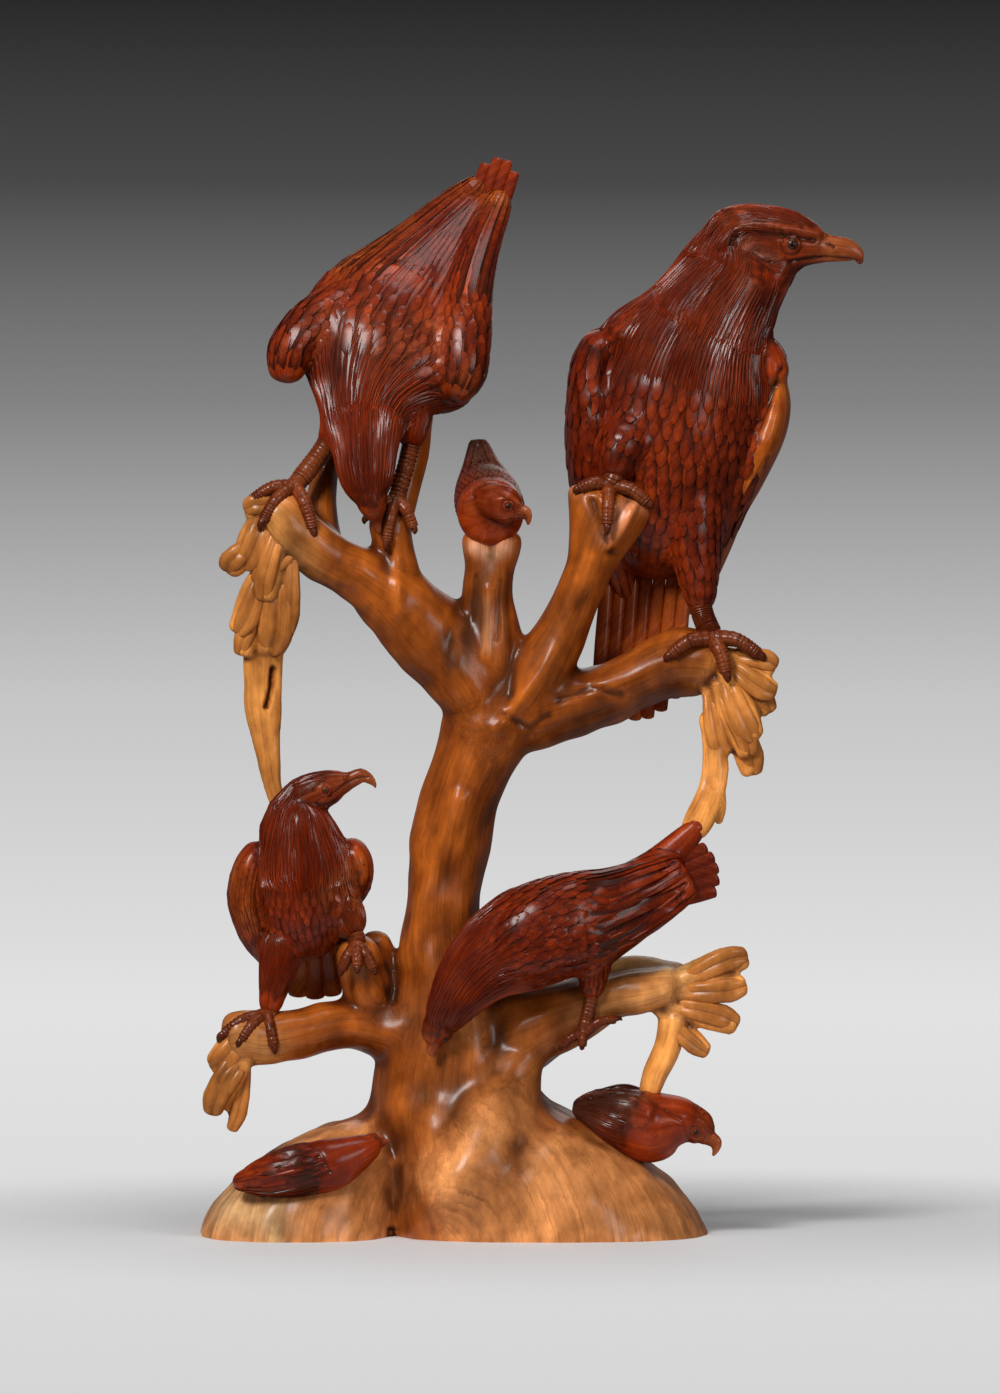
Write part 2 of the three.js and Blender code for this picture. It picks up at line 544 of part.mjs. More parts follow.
const wasm = await Module();
wasm.setup();

function solidFrom(geometry) {
  const merged = mergeVertices(geometry, 1e-3);
  return new wasm.Manifold(new wasm.Mesh({
    numProp: 3,
    vertProperties: new Float32Array(merged.getAttribute("position").array),
    triVerts: new Uint32Array(merged.index.array),
    tolerance: JOIN_TOLERANCE,
  }));
}

function carvingGeometry() {
  const forms = [
    ...TREE.map((bough) => limb(bough.rows, bough)),
    ...TIES.map((rows) => limb(rows, { sides: 5 })),
    ...SPRAYS.map(leafForm),
    ...BIRDS.flatMap(birdForms),
  ];
  const joined = forms.map(solidFrom).reduce((wood, form) => wood.add(form));
  const { vertProperties, triVerts } = joined.subtract(solidFrom(sawnStock())).getMesh();
  const geometry = new THREE.BufferGeometry();
  geometry.setAttribute("position", new THREE.BufferAttribute(new Float32Array(vertProperties), 3));
  geometry.setIndex(new THREE.BufferAttribute(new Uint32Array(triVerts), 1));
  geometry.translate(0, 0, -UNDERSIDE * SQUARE);
  return geometry;
}

const carving = new THREE.Mesh(carvingGeometry(), new THREE.MeshStandardMaterial(WOOD));
carving.name = "carving";
const group = new THREE.Group();
group.add(carving);

export default group;
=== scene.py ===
"""Carved hardwood tree with seven birds of prey: looks of the finished carving.

The carving is laid out on a squared pattern, as a carver squares up a drawing. A place is [across, back,
up], counted in squares from the middle of the pattern's lowest line, and a row is a place with the limb's half
width and half depth there, in squares. Marks on the side that faces the viewer are counted in the pattern's
fine lines, ten to a square, by column from the left and row from the top.
"""

import logging
import math
from dataclasses import dataclass, field
from enum import Enum

import bmesh
import bpy
import numpy as np
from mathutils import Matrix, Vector
from mathutils.bvhtree import BVHTree
from mathutils.kdtree import KDTree

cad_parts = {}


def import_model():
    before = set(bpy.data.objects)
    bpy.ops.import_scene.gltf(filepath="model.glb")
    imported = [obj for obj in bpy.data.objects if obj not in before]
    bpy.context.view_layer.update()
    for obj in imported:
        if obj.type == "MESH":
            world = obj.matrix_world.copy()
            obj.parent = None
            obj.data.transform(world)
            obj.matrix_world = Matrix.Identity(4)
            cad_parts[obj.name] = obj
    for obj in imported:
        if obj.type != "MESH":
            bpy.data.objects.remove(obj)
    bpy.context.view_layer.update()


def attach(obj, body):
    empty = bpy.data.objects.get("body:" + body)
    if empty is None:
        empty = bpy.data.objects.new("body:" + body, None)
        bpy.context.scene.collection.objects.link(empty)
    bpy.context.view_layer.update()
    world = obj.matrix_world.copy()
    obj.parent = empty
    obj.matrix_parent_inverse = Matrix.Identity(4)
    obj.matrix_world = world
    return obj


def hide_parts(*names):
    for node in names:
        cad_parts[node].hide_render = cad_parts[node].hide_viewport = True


Socket = bpy.types.NodeSocket
log = logging.getLogger("carving")

SQUARE = 12.0  # mm, one square of the pattern
UNDERSIDE = 1.1  # squares, height of the level saw cut under the foot
TOWARD_VIEWER = (0.0, -1.0, 0.0)
FINE_LINE = 0.0012  # m, a tenth of a square
MIDDLE_COLUMN = 531  # fine line through the middle of the foot
LOWEST_ROW = 1243  # fine line along the pattern's foot
CAMERA_DISTANCE = 8.0  # m, from the pattern's plane
CAMERA_PLACE = (-0.0372, -CAMERA_DISTANCE, 0.642)
VIEW_ROWS = 1394  # fine lines that the picture's longer side takes in
STATIONS = 201  # places where a limb's length is measured
SINEW_RUN = 90.0  # mm along a limb in which its sinews turn by a radian
SKIN_CLEARANCE = 0.012  # m, how far from the skin a feather's path may run
HOOD_CLEARANCE = 0.026  # m, the same for hackles, whose hood only guides them
QUILL_COVER = 1.12  # share of a limb's girth that its quills take, with their overlap
BARB_SLANT = 1.3  # how steeply the grain leaves a feather's shaft
TOE_RING = 0.9  # mm, from one ring of a toe's faces to the next
CUT_DEPTH = 0.0009  # m, depth of a cut that gets the full painted shade
HOLLOW_DEPTH = 0.0045  # m, depth of a hollow that gets the full painted shade
TOOL_WAVES = (0.022, 0.07)  # m, shortest and longest of the waves that a gouge leaves
NOISE_RANGE = (0.3, 0.7)  # where nearly all noise lies
NODE = "carving"


def unit(vectors: np.ndarray) -> np.ndarray:
    """Scale vectors to length one."""
    return vectors / np.maximum(np.linalg.norm(vectors, axis=-1, keepdims=True), 1e-12)


def to_metres(places: np.ndarray) -> np.ndarray:
    """Turn places in pattern millimetres into metres over the saw cut."""
    return (places - np.array([0.0, 0.0, UNDERSIDE * SQUARE])) * 0.001


def seen(places: np.ndarray) -> np.ndarray:
    """Find the column and row at which the viewer sees places.

    Args:
        places: Places in metres, one to a row.

    Returns:
        Column and row of each place, in fine lines.
    """
    nearness = CAMERA_DISTANCE / (CAMERA_DISTANCE + places[:, 1])
    across = CAMERA_PLACE[0] + (places[:, 0] - CAMERA_PLACE[0]) * nearness
    up = CAMERA_PLACE[2] + (places[:, 2] - CAMERA_PLACE[2]) * nearness
    rise = UNDERSIDE * SQUARE * 0.001
    return np.stack([across / FINE_LINE + MIDDLE_COLUMN, LOWEST_ROW - (up + rise) / FINE_LINE], axis=1)


def ball(sides: int, rings: int) -> tuple[np.ndarray, np.ndarray]:
    """Make a ball of triangles to be drawn out into a form.

    Args:
        sides: Faces round its waist.
        rings: Faces from pole to pole.

    Returns:
        Its places and its triangles.
    """
    bm = bmesh.new()
    bmesh.ops.create_uvsphere(bm, u_segments=sides, v_segments=rings, radius=1)
    bmesh.ops.triangulate(bm, faces=bm.faces[:])
    places = np.array([v.co[:] for v in bm.verts])
    triangles = np.array([[v.index for v in f.verts] for f in bm.faces])
    bm.free()
    return places, triangles


class Batten:
    """A smooth line through rows of numbers, as a carver's thin batten bends round pins."""

    def __init__(self, rows: np.ndarray) -> None:
        """Set the pins."""
        self.rows = rows
        self.pins = np.vstack([2 * rows[0] - rows[1], rows, 2 * rows[-1] - rows[-2]])

    def at(self, share: np.ndarray) -> np.ndarray:
        """Read the line.

        Args:
            share: Shares of the way from the first pin to the last.

        Returns:
            The row of numbers at each share.
        """
        last = len(self.rows) - 1
        way = np.clip(share, 0, 1) * last
        index = np.minimum(way.astype(int), last - 1)
        weight = (way - index)[..., None]
        pins = [self.pins[index + k] for k in range(4)]
        spans = [np.sum((b - a) ** 2, axis=-1, keepdims=True) ** 0.25 for a, b in zip(pins, pins[1:])]
        p0, p1, p2, p3 = pins
        d0, d1, d2 = spans
        d1 = np.where(d1 < 1e-4, 1, d1)
        d0 = np.where(d0 < 1e-4, d1, d0)
        d2 = np.where(d2 < 1e-4, d1, d2)
        start = ((p1 - p0) / d0 - (p2 - p0) / (d0 + d1) + (p2 - p1) / d1) * d1
        end = ((p2 - p1) / d1 - (p3 - p1) / (d1 + d2) + (p3 - p2) / d2) * d1
        square = -3 * p1 + 3 * p2 - 2 * start - end
        cube = 2 * p1 - 2 * p2 + start + end
        return p1 + weight * (start + weight * (square + weight * cube))


@dataclass
class Limb:
    """One limb of the carving, drawn along a line and rounded off at its ends."""

    rows: list  # places with half width and half depth, in squares
    name: str = ""
    facing: tuple = TOWARD_VIEWER  # the way that its depth is measured
    boxy: float = 2.0  # power of its section: 2 is oval, and more is squarer
    cap: float = math.inf  # longest rounding at its ends, in squares
    level: bool = False  # whether its sections all lie level
    blunt: float = 1.0  # how its rings crowd toward its ends; less makes blunter ends
    sinew: float = 0.0  # depth of the long ripples round it, as a share of its size
    scutes: float = 0.0  # from one scute of a toe to the next, in millimetres
    spoon: float = 0.0  # depth of the hollow along its front, as a share of its size

    def __post_init__(self) -> None:
        """Bend the battens and measure the length."""
        rows = np.array(self.rows, float) * SQUARE
        self.line = Batten(rows[:, :3])
        self.halves = Batten(rows[:, 3:5])
        self.shares = np.linspace(0, 1, STATIONS)
        steps = np.linalg.norm(np.diff(self.line.at(self.shares), axis=0), axis=1)
        self.reach = np.concatenate([[0.0], np.cumsum(steps)])
        self.length = self.reach[-1]

    def share_at(self, distance: np.ndarray) -> np.ndarray:
        """Turn a distance along the limb in millimetres into a share of the way."""
        return np.interp(distance, self.reach, self.shares)

    def section(self, share: np.ndarray) -> tuple[np.ndarray, ...]:
        """Find the limb's cross section.

        Args:
            share: Shares of the way along.

        Returns:
            Middle, sideways direction, outward direction and halves, in millimetres.
        """
        share = np.clip(share, 0, 1)
        heading = self.line.at(share + 1e-4) - self.line.at(share - 1e-4)
        if self.level:
            heading = np.broadcast_to([0.0, 0.0, 1.0], heading.shape)
        heading = unit(heading)
        side = unit(np.cross(unit(np.array(self.facing, float)), heading))
        return self.line.at(share), side, np.cross(heading, side), np.maximum(self.halves.at(share), 0.3)

    def skin(self, share: np.ndarray, around: np.ndarray) -> np.ndarray:
        """Find places on the limb's surface.

        Args:
            share: Shares of the way along.
            around: Turns about the line, in radians; a quarter turn faces the viewer.

        Returns:
            The places, in millimetres.
        """
        middle, side, outward, half = self.section(share)
        c, s = np.cos(around)[..., None], np.sin(around)[..., None]
        wide, deep = half[..., :1], half[..., 1:]
        oval = (np.abs(c) ** self.boxy + np.abs(s) ** self.boxy) ** (-1 / self.boxy)
        rounding = np.minimum(np.minimum(wide, deep), self.cap * SQUARE)
        clipped = np.clip(share, 0, 1)[..., None]
        inset = np.minimum(1, np.minimum(clipped, 1 - clipped) * self.length / rounding)
        oval = oval * np.sqrt(inset * (2 - inset))
        if self.sinew:
            way = clipped * self.length / SINEW_RUN
            seed = len(self.rows) + self.rows[0][0]
            turn = around[..., None]
            ripple = np.sin(2 * turn + way + seed) + 0.7 * np.sin(3 * turn - 1.6 * way + 2 * seed)
            ripple = ripple + 0.45 * np.sin(5 * turn + 2.3 * way)
            oval = oval * (1 + self.sinew * ripple)
        if self.scutes:
            oval = oval * (1 + 0.17 * np.abs(np.sin(np.pi * clipped * self.length / self.scutes)) ** 0.7)
        if self.spoon:
            oval = oval * (1 - self.spoon * np.clip(s, 0, 1) * np.exp(-((c / 0.45) ** 2)))
        return middle + side * (c * wide * oval) + outward * (s * deep * oval)

    def shell(self, sides: int, rings: int) -> tuple[np.ndarray, np.ndarray]:
        """Draw the limb out as a closed shell.

        Args:
            sides: Faces round it.
            rings: Faces along it.

        Returns:
            Places in metres and triangles.
        """
        places, triangles = ball(sides, rings)
        height = np.clip(places[:, 2], -1, 1)
        share = (1 - np.sign(height) * np.abs(height) ** self.blunt) / 2
        return to_metres(self.skin(share, np.arctan2(places[:, 1], places[:, 0]))), triangles

    def girth(self, share: np.ndarray) -> np.ndarray:
        """Measure round the limb, in millimetres."""
        half = self.halves.at(share)
        return 2 * np.pi * np.sqrt((half[..., 0] ** 2 + half[..., 1] ** 2) / 2)


@dataclass
class Tail:
    """Tail feathers side by side, the outer ones a little shorter."""

    root: list
    tip: list
    widths: list  # across the fan at its root and its tip, in squares
    thick: float  # half depth of a feather, in squares
    facing: list  # the way that its depth is measured
    feathers: int

    def limbs(self) -> list[Limb]:
        """Draw the feathers."""
        root, tip = np.array(self.root, float), np.array(self.tip, float)
        spread = unit(np.cross(tip - root, np.array(self.facing, float)))
        half = 0.62 * self.widths[1] / self.feathers
        limbs = []
        for i in range(self.feathers):
            share = (i + 0.5) / self.feathers - 0.5
            start = root + spread * share * self.widths[0]
            end = tip + spread * share * self.widths[1]
            end = end + (start - end) * 0.9 * share * share
            middle = start + (end - start) * 0.6
            rows = [
                [*start, half * 0.8, self.thick],
                [*middle, half, self.thick * 0.9],
                [*end, half * 0.9, self.thick * 0.7],
            ]
            limbs.append(Limb(rows, facing=tuple(self.facing), boxy=2.6, blunt=0.6, name="tail"))
        return limbs


@dataclass
class Head:
    """Skull, hooked beak, jaw and brows, laid out in half heights of the skull."""

    at: list
    size: float  # half height of the skull, in squares
    facing: list
    up: list
    reach: float  # how far the face is drawn out
    brows: bool = False
    jaw: bool = False
    hook: float = 1.0  # how far the beak's tip turns down

    def __post_init__(self) -> None:
        """Set the head's own directions: ahead, to the left and upward."""
        self.ahead = unit(np.array(self.facing, float))
        self.left = unit(np.cross(np.array(self.up, float), self.ahead))
        self.top = np.cross(self.ahead, self.left)

    def row(self, forward: float, leftward: float, upward: float, high: float, wide: float) -> list:
        """Place one row of a limb of the head."""
        step = self.ahead * forward + self.left * leftward + self.top * upward
        return [*(np.array(self.at, float) + self.size * step), high * self.size, wide * self.size]

    def skull(self) -> Limb:
        """Draw the skull, from the nape to the beak."""
        row, reach = self.row, self.reach
        rows = [
            row(-1.6, 0, -0.25, 0.6, 0.5), row(-1.1, 0, 0, 0.84, 0.74), row(-0.45, 0, 0.05, 1, 0.88),
            row(0.3 * reach, 0, 0.02, 1, 0.84), row(0.8 * reach, 0, -0.03, 0.9, 0.66),
            row(1.12 * reach, 0, -0.07, 0.68, 0.46), row(1.4 * reach, 0, -0.14, 0.44, 0.32),
        ]
        return Limb(rows, facing=tuple(self.left), name="skull")

    def beak(self) -> Limb:
        """Draw the upper beak with its hook."""
        row, reach = self.row, self.reach
        rows = [
            row(0.6 * reach, 0, -0.05, 0.5, 0.4), row(1.12 * reach, 0, -0.12, 0.6, 0.36),
            row(1.53 * reach, 0, -0.16, 0.44, 0.27), row(1.93 * reach, 0, -0.19, 0.37, 0.2),
            row(2.16 * reach, 0, -0.36 * self.hook, 0.24, 0.12),
            row(2.22 * reach, 0, -0.64 * self.hook, 0.08, 0.05),
        ]
        return Limb(rows, facing=tuple(self.left), name="beak")

    def chin(self) -> Limb:
        """Draw the lower jaw."""
        row, reach = self.row, self.reach
        rows = [
            row(0.1, 0, -0.5, 0.5, 0.5), row(0.9 * reach, 0, -0.5, 0.3, 0.34),
            row(1.7 * reach, 0, -0.36, 0.1, 0.16),
        ]
        return Limb(rows, facing=tuple(self.left), name="beak")

    def ridges(self) -> list[Limb]:
        """Draw the two brows."""
        limbs = []
        for hand in (-1, 1):
            rows = [
                self.row(-0.3, 0.6 * hand, 0.36, 0.16, 0.2), self.row(0.5, 0.56 * hand, 0.4, 0.16, 0.2),
                self.row(1.15, 0.34 * hand, 0.24, 0.1, 0.12),
            ]
            limbs.append(Limb(rows, facing=tuple(self.left), name="skull"))
        return limbs

    def limbs(self) -> list[Limb]:
        """Draw the whole head."""
        forms = [self.skull(), self.beak()]
        if self.jaw:
            forms.append(self.chin())
        if self.brows:
            forms += self.ridges()
        return forms


@dataclass
class Leg:
    """Feathered thigh, bare shank and arched toes that end in claws."""

    thigh: list
    ankle: list
    thick: float  # half width of the shank, in squares
    toes: list  # where the claws end

    def trouser(self) -> Limb:
        """Draw the feathered thigh."""
        return Limb(self.thigh, name="thigh")

    def shank(self) -> Limb:
        """Draw the bare shank with its rings of scutes."""
        rows = [[*place[:3], self.thick, self.thick] for place in (self.thigh[1], self.thigh[2], self.ankle)]
        return Limb(rows, scutes=4.2, name="foot")

    def claws(self) -> list[Limb]:
        """Draw the toes with their claws."""
        knee, ankle = np.array(self.thigh[2][:3], float), np.array(self.ankle, float)
        heel = knee + (ankle - knee) * 0.75
        limbs = []
        for tip in np.array(self.toes, float):
            run = tip - ankle
            lift = np.array([0, -0.7, 0.7])
            lift = unit(lift - run * lift.dot(run) / run.dot(run)) * np.linalg.norm(run)
            toe = [
                heel, ankle, ankle + run * 0.4 + lift * 0.2, ankle + run * 0.68 + lift * 0.17,
                ankle + run * 0.86 + lift * 0.1,
            ]
            halves = np.array([0.86, 0.86, 0.68, 0.64, 0.64]) * self.thick
            rows = [[*place, half, half] for place, half in zip(toe, halves)]
            limbs.append(Limb(rows, scutes=4.6, name="foot"))
            nail = [ankle + run * 0.76 + lift * 0.13, ankle + run * 0.92 + lift * 0.12, tip]
            halves = np.array([0.5, 0.42, 0.1]) * self.thick
            limbs.append(Limb([[*place, half, half] for place, half in zip(nail, halves)], name="claw"))
        return limbs


class Wiring:
    """The nodes of a material or a world and the links between them."""

    def __init__(self, owner: bpy.types.ID) -> None:
        """Open the owner's nodes."""
        owner.use_nodes = True
        self.nodes = owner.node_tree.nodes
        self.link = owner.node_tree.links.new

    def add(self, kind: str, **settings: object) -> bpy.types.Node:
        """Add a node of one kind with its settings."""
        node = self.nodes.new("ShaderNode" + kind)
        for key, value in settings.items():
            setattr(node, key, value)
        return node

    def fill(self, node: bpy.types.Node, values: dict) -> None:
        """Write values into a node's inputs."""
        for key, value in values.items():
            node.inputs[key].default_value = value

    def noise(self, source: Socket, scale: tuple, detail: float) -> Socket:
        """Read noise drawn out along the grain.

        Args:
            source: Where the places come from.
            scale: Waves to a metre in each direction.
            detail: How many finer layers it has.

        Returns:
            The noise, about 0.3 to 0.7.
        """
        mapping = self.add("Mapping")
        self.fill(mapping, {"Scale": scale})
        self.link(source, mapping.inputs["Vector"])
        noise = self.add("TexNoise")
        self.fill(noise, {"Scale": 1, "Detail": detail, "Roughness": 0.62})
        self.link(mapping.outputs["Vector"], noise.inputs["Vector"])
        return noise.outputs["Fac"]

    def ranged(self, source: Socket, old: tuple, new: tuple, **settings: object) -> Socket:
        """Map a number from an old range to a new one."""
        node = self.add("MapRange", **settings)
        self.fill(node, {"From Min": old[0], "From Max": old[1], "To Min": new[0], "To Max": new[1]})
        self.link(source, node.inputs["Value"])
        return node.outputs["Result"]

    def times(self, a: Socket, b: Socket) -> Socket:
        """Multiply two numbers."""
        node = self.add("Math", operation="MULTIPLY")
        self.link(a, node.inputs[0])
        self.link(b, node.inputs[1])
        return node.outputs[0]

    def bump(self, height: Socket, strength: float, distance: float) -> bpy.types.Node:
        """Raise the surface where a height is large, by up to a distance in metres."""
        node = self.add("Bump")
        self.fill(node, {"Strength": strength, "Distance": distance})
        self.link(height, node.inputs["Height"])
        return node


def placed(name: str, data: bpy.types.ID) -> bpy.types.Object:
    """Put an object into the scene."""
    thing = bpy.data.objects.new(name, data)
    bpy.context.scene.collection.objects.link(thing)
    return thing


def new_mesh(name: str, places: np.ndarray, triangles: np.ndarray) -> bpy.types.Mesh:
    """Make a mesh of triangles."""
    mesh = bpy.data.meshes.new(name)
    mesh.from_pydata(places, [], triangles)
    mesh.update()
    return mesh


def read(items: bpy.types.bpy_prop_collection, key: str, kind: type, width: int) -> np.ndarray:
    """Read one property of every item.

    Args:
        items: The mesh's vertices, edges, loops or the like.
        key: The property's name.
        kind: The type of its numbers.
        width: How many numbers each item has.

    Returns:
        One item to a row.
    """
    flat = np.empty(len(items) * width, kind)
    items.foreach_get(key, flat)
    return flat.reshape(-1, width)


def mesh_places(mesh: bpy.types.Mesh) -> np.ndarray:
    """Read a mesh's places."""
    return read(mesh.vertices, "co", np.float32, 3).astype(float)


def mesh_normals(mesh: bpy.types.Mesh) -> np.ndarray:
    """Read a mesh's normals."""
    return read(mesh.vertex_normals, "vector", np.float32, 3).astype(float)


def mesh_triangles(mesh: bpy.types.Mesh) -> np.ndarray:
    """Read the triangles of a mesh that has nothing else."""
    return read(mesh.loops, "vertex_index", np.int32, 1).reshape(-1, 3)


def move(mesh: bpy.types.Mesh, places: np.ndarray) -> None:
    """Move a mesh's vertices to new places."""
    mesh.vertices.foreach_set("co", places.astype(np.float32).ravel())
    mesh.update()


def worked(mesh: bpy.types.Mesh, modifiers: list) -> bpy.types.Mesh:
    """Work a mesh with modifiers and keep what comes out.

    Args:
        mesh: The mesh, which is used up.
        modifiers: Each modifier's type and settings.

    Returns:
        The new mesh.
    """
    piece = placed("work", mesh)
    for kind, settings in modifiers:
        modifier = piece.modifiers.new(kind, kind)
        for key, value in settings.items():
            setattr(modifier, key, value)
    graph = bpy.context.evaluated_depsgraph_get()
    result = bpy.data.meshes.new_from_object(piece.evaluated_get(graph))
    bpy.data.objects.remove(piece)
    bpy.data.meshes.remove(mesh)
    return result


def gathered(shells: list) -> tuple[np.ndarray, np.ndarray]:
    """Gather shells into one list of places and one of triangles."""
    starts = np.cumsum([0] + [len(places) for places, _ in shells[:-1]])
    triangles = [part + start for (_, part), start in zip(shells, starts)]
    return np.vstack([places for places, _ in shells]), np.vstack(triangles)


class Neighbours:
    """The places joined to each place of a mesh by an edge."""

    def __init__(self, mesh: bpy.types.Mesh) -> None:
        """Read the edges."""
        self.ends = read(mesh.edges, "vertices", np.int32, 2)
        self.size = len(mesh.vertices)
        self.count = np.maximum(np.bincount(self.ends.ravel(), minlength=self.size), 1)[:, None]

    def average(self, values: np.ndarray, rounds: int) -> np.ndarray:
        """Even out values over the surface.

        Args:
            values: One row of numbers to a place.
            rounds: How often it is done.

        Returns:
            The evened values.
        """
        a, b = self.ends[:, 0], self.ends[:, 1]
        for _ in range(rounds):
            sums = [
                np.bincount(a, column[b], self.size) + np.bincount(b, column[a], self.size)
                for column in values.T
            ]
            values = 0.5 * values + 0.5 * np.stack(sums, axis=1) / self.count
        return values


def filled(mesh: bpy.types.Mesh, rounds: int) -> None:
    """Fill the creases where forms meet, as a gouge leaves them, and leave what stands proud.

    Args:
        mesh: The fused mesh, which is changed.
        rounds: How often it is done; more rounds make wider hollows.
    """
    near = Neighbours(mesh)
    for _ in range(rounds):
        places, normals = mesh_places(mesh), mesh_normals(mesh)
        pull = ((near.average(places, 1) - places) * normals).sum(axis=1)
        move(mesh, places + normals * (np.maximum(pull, 0) * 1.6 + np.minimum(pull, 0) * 0.15)[:, None])


@dataclass(frozen=True)
class Mark:
    """A groove, or a ridge where deep is below nought, along fine-line points on the viewer's side."""

    points: tuple
    half: float  # half its width, in fine lines
    deep: float  # mm


def grooves(half: float, deep: float, *lines: tuple) -> list[Mark]:
    """Set out grooves of one width and depth."""
    return [Mark(points, half, deep) for points in lines]


@dataclass(frozen=True)
class StainAndPaintedLight:
    """A patch of another colour along fine-line points on the viewer's side: a stain, painted shade or a
    painted highlight.
    """

    points: tuple
    half: float  # half its width, in fine lines
    colour: tuple
    strength: float


@dataclass(frozen=True)
class Eye:
    """An eye at a fine-line point; through means that its fellow is straight behind it."""

    column: float
    row: float
    radius: float
    through: bool = True


def distance_to_line(spots: np.ndarray, points: tuple) -> np.ndarray:
    """Measure how far spots lie from a broken line.

    Args:
        spots: Columns and rows.
        points: The line's points, two or more.

    Returns:
        The distance of each spot, in fine lines.
    """
    line = np.array(points, float)
    best = np.full(len(spots), np.inf)
    for start, end in zip(line[:-1], line[1:]):
        run = end - start
        share = np.clip((spots - start) @ run / run.dot(run), 0, 1)
        best = np.minimum(best, np.linalg.norm(spots - start - share[:, None] * run, axis=1))
    return best


@dataclass
class Block:
    """A closed form with what its finish needs at each place: grain flow, tint, and painted shading that
    darkens shaded places and lightens raised ones.
    """

    places: np.ndarray
    triangles: np.ndarray
    flow: np.ndarray
    tint: np.ndarray
    # Painted shade above nought, in cuts, hollows and under feathers; painted light below nought, on raised
    # parts
    painted_shading: np.ndarray


def barbs(along: np.ndarray, side: np.ndarray, seed: np.ndarray) -> np.ndarray:
    """Slant the grain away from a feather's shaft.

    Args:
        along: Distance along the shaft.
        side: Distance from the shaft, below nought on its right.
        seed: A number of the feather's own.

    Returns:
        The grain's flow at each place.
    """
    return np.stack([np.abs(side), along - BARB_SLANT * np.abs(side), seed], axis=-1)


class Skin:
    """The smooth surface of a bird before its feathers are cut."""

    def __init__(self, mesh: bpy.types.Mesh, bare: list) -> None:
        """Index the surface, with the column, row and radius of each patch that has no feathers."""
        self.bare = bare
        places = mesh_places(mesh)
        self.tree = BVHTree.FromPolygons(places.tolist(), mesh_triangles(mesh).tolist())

    def nearest(self, places: np.ndarray) -> tuple[np.ndarray, np.ndarray, np.ndarray]:
        """Drop places onto the surface.

        Args:
            places: Places in metres, one to a row.

        Returns:
            Places on the surface, normals there, and how far each place moved.
        """
        found = [self.tree.find_nearest(place) for place in places.tolist()]
        spots = np.array([hit[0][:] for hit in found])
        normals = np.array([hit[1][:] for hit in found])
        return spots, normals, np.array([hit[3] for hit in found])


@dataclass(frozen=True)
class Cut:
    """How one kind of feather is cut, with lengths in millimetres."""

    thick: float  # through its middle
    lift: float  # how far its tip stands up
    point: float  # how much narrower its tip is, as a share
    length: float = 0.0  # from root to tip
    wide: float = 0.0  # across it, or nought where it takes a share of the limb's girth
    step: float = 0.0  # from one row of feathers to the next
    pitch: float = 0.0  # from one feather to its neighbour
    sides: int = 6  # faces round it
    rings: int = 8  # faces along it
    blunt: float = 0.6  # how its rings crowd toward its ends; less makes blunter ends
    sunk: float = 0.55  # share of its thickness that lies in the skin at its root
    flat: float = 0.36  # power that squares its section; 1 leaves it round
    tilt: float = 0.35  # how far one edge stands over its neighbour
    slip: float = 0.22  # how far roots stray from their row, in steps
    root_shade: float = 1.0  # painted shade at its root, under the feather above
    overlap: float = 0.35  # painted shade under its neighbour's edge
    barbed: bool = True  # whether its grain slants away from a shaft


class Feather(Enum):
    """The kinds of feather on the birds."""

    HACKLE = Cut(
        length=72, wide=4.3, step=22, pitch=4.6, thick=2.6, lift=0.3, point=0.6, sides=4, blunt=0.75, sunk=0.25,
        flat=1.0, tilt=0.0, slip=0.9, root_shade=0.5, overlap=0.0, barbed=False,
    )
    SCALE = Cut(length=34, wide=12, step=15, pitch=12.5, thick=1.9, lift=1.5, point=0.12)
    VANE = Cut(length=120, wide=8.5, step=58, pitch=8, thick=1.7, lift=0.5, point=0.3, root_shade=0.5)
    QUILL = Cut(thick=2.6, lift=0.8, point=0.05, rings=14, sunk=0.4, tilt=0.8, overlap=0.9)


@dataclass(frozen=True)
class Zone:
    """A stretch of a form that carries one kind of feather, from one share of its length to another."""

    part: str
    feather: Feather
    start: float
    end: float
    scale: float = 1.0  # size of the feathers against the bird's others
    quills: int = 12  # how many quills go round the form

    def set_out(self, host: Limb, size: float, rng: np.random.Generator) -> tuple[np.ndarray, np.ndarray]:
        """Set out the zone's feathers on a limb.

        Args:
            host: The limb.
            size: The bird's feather size.
            rng: Seeded source of small irregularities.

        Returns:
            Share along and turn about the limb at each root, and the same at each tip.
        """
        if self.feather is Feather.QUILL:
            number = np.arange(self.quills)
            turn = (number + 0.5) * 2 * np.pi / self.quills
            roots = np.stack([self.start + rng.uniform(0, 0.05, self.quills), turn], axis=1)
            return roots, np.stack([self.end - 0.05 * (number % 3), turn + 0.12], axis=1)
        cut, scale = self.feather.value, self.scale * size
        roots, tips = [], []
        first, last = np.interp([self.start, self.end], host.shares, host.reach)
        for number, distance in enumerate(np.arange(first, last, cut.step * scale)):
            girth = float(host.girth(host.share_at(distance)))
            count = max(5, round(girth / (cut.pitch * scale)))
            turn = (np.arange(count) + 0.5 * (number % 2) + rng.uniform(-0.1, 0.1, count)) * 2 * np.pi / count
            root = distance + rng.uniform(-0.5, 0.5, count) * cut.step * scale * cut.slip
            tip = root + cut.length * scale * rng.uniform(0.86, 1.14, count)
            roots.append(np.stack([host.share_at(root), turn], axis=1))
            tips.append(np.stack([host.share_at(tip), turn + rng.uniform(-0.02, 0.02, count)], axis=1))
        return np.vstack(roots), np.vstack(tips)


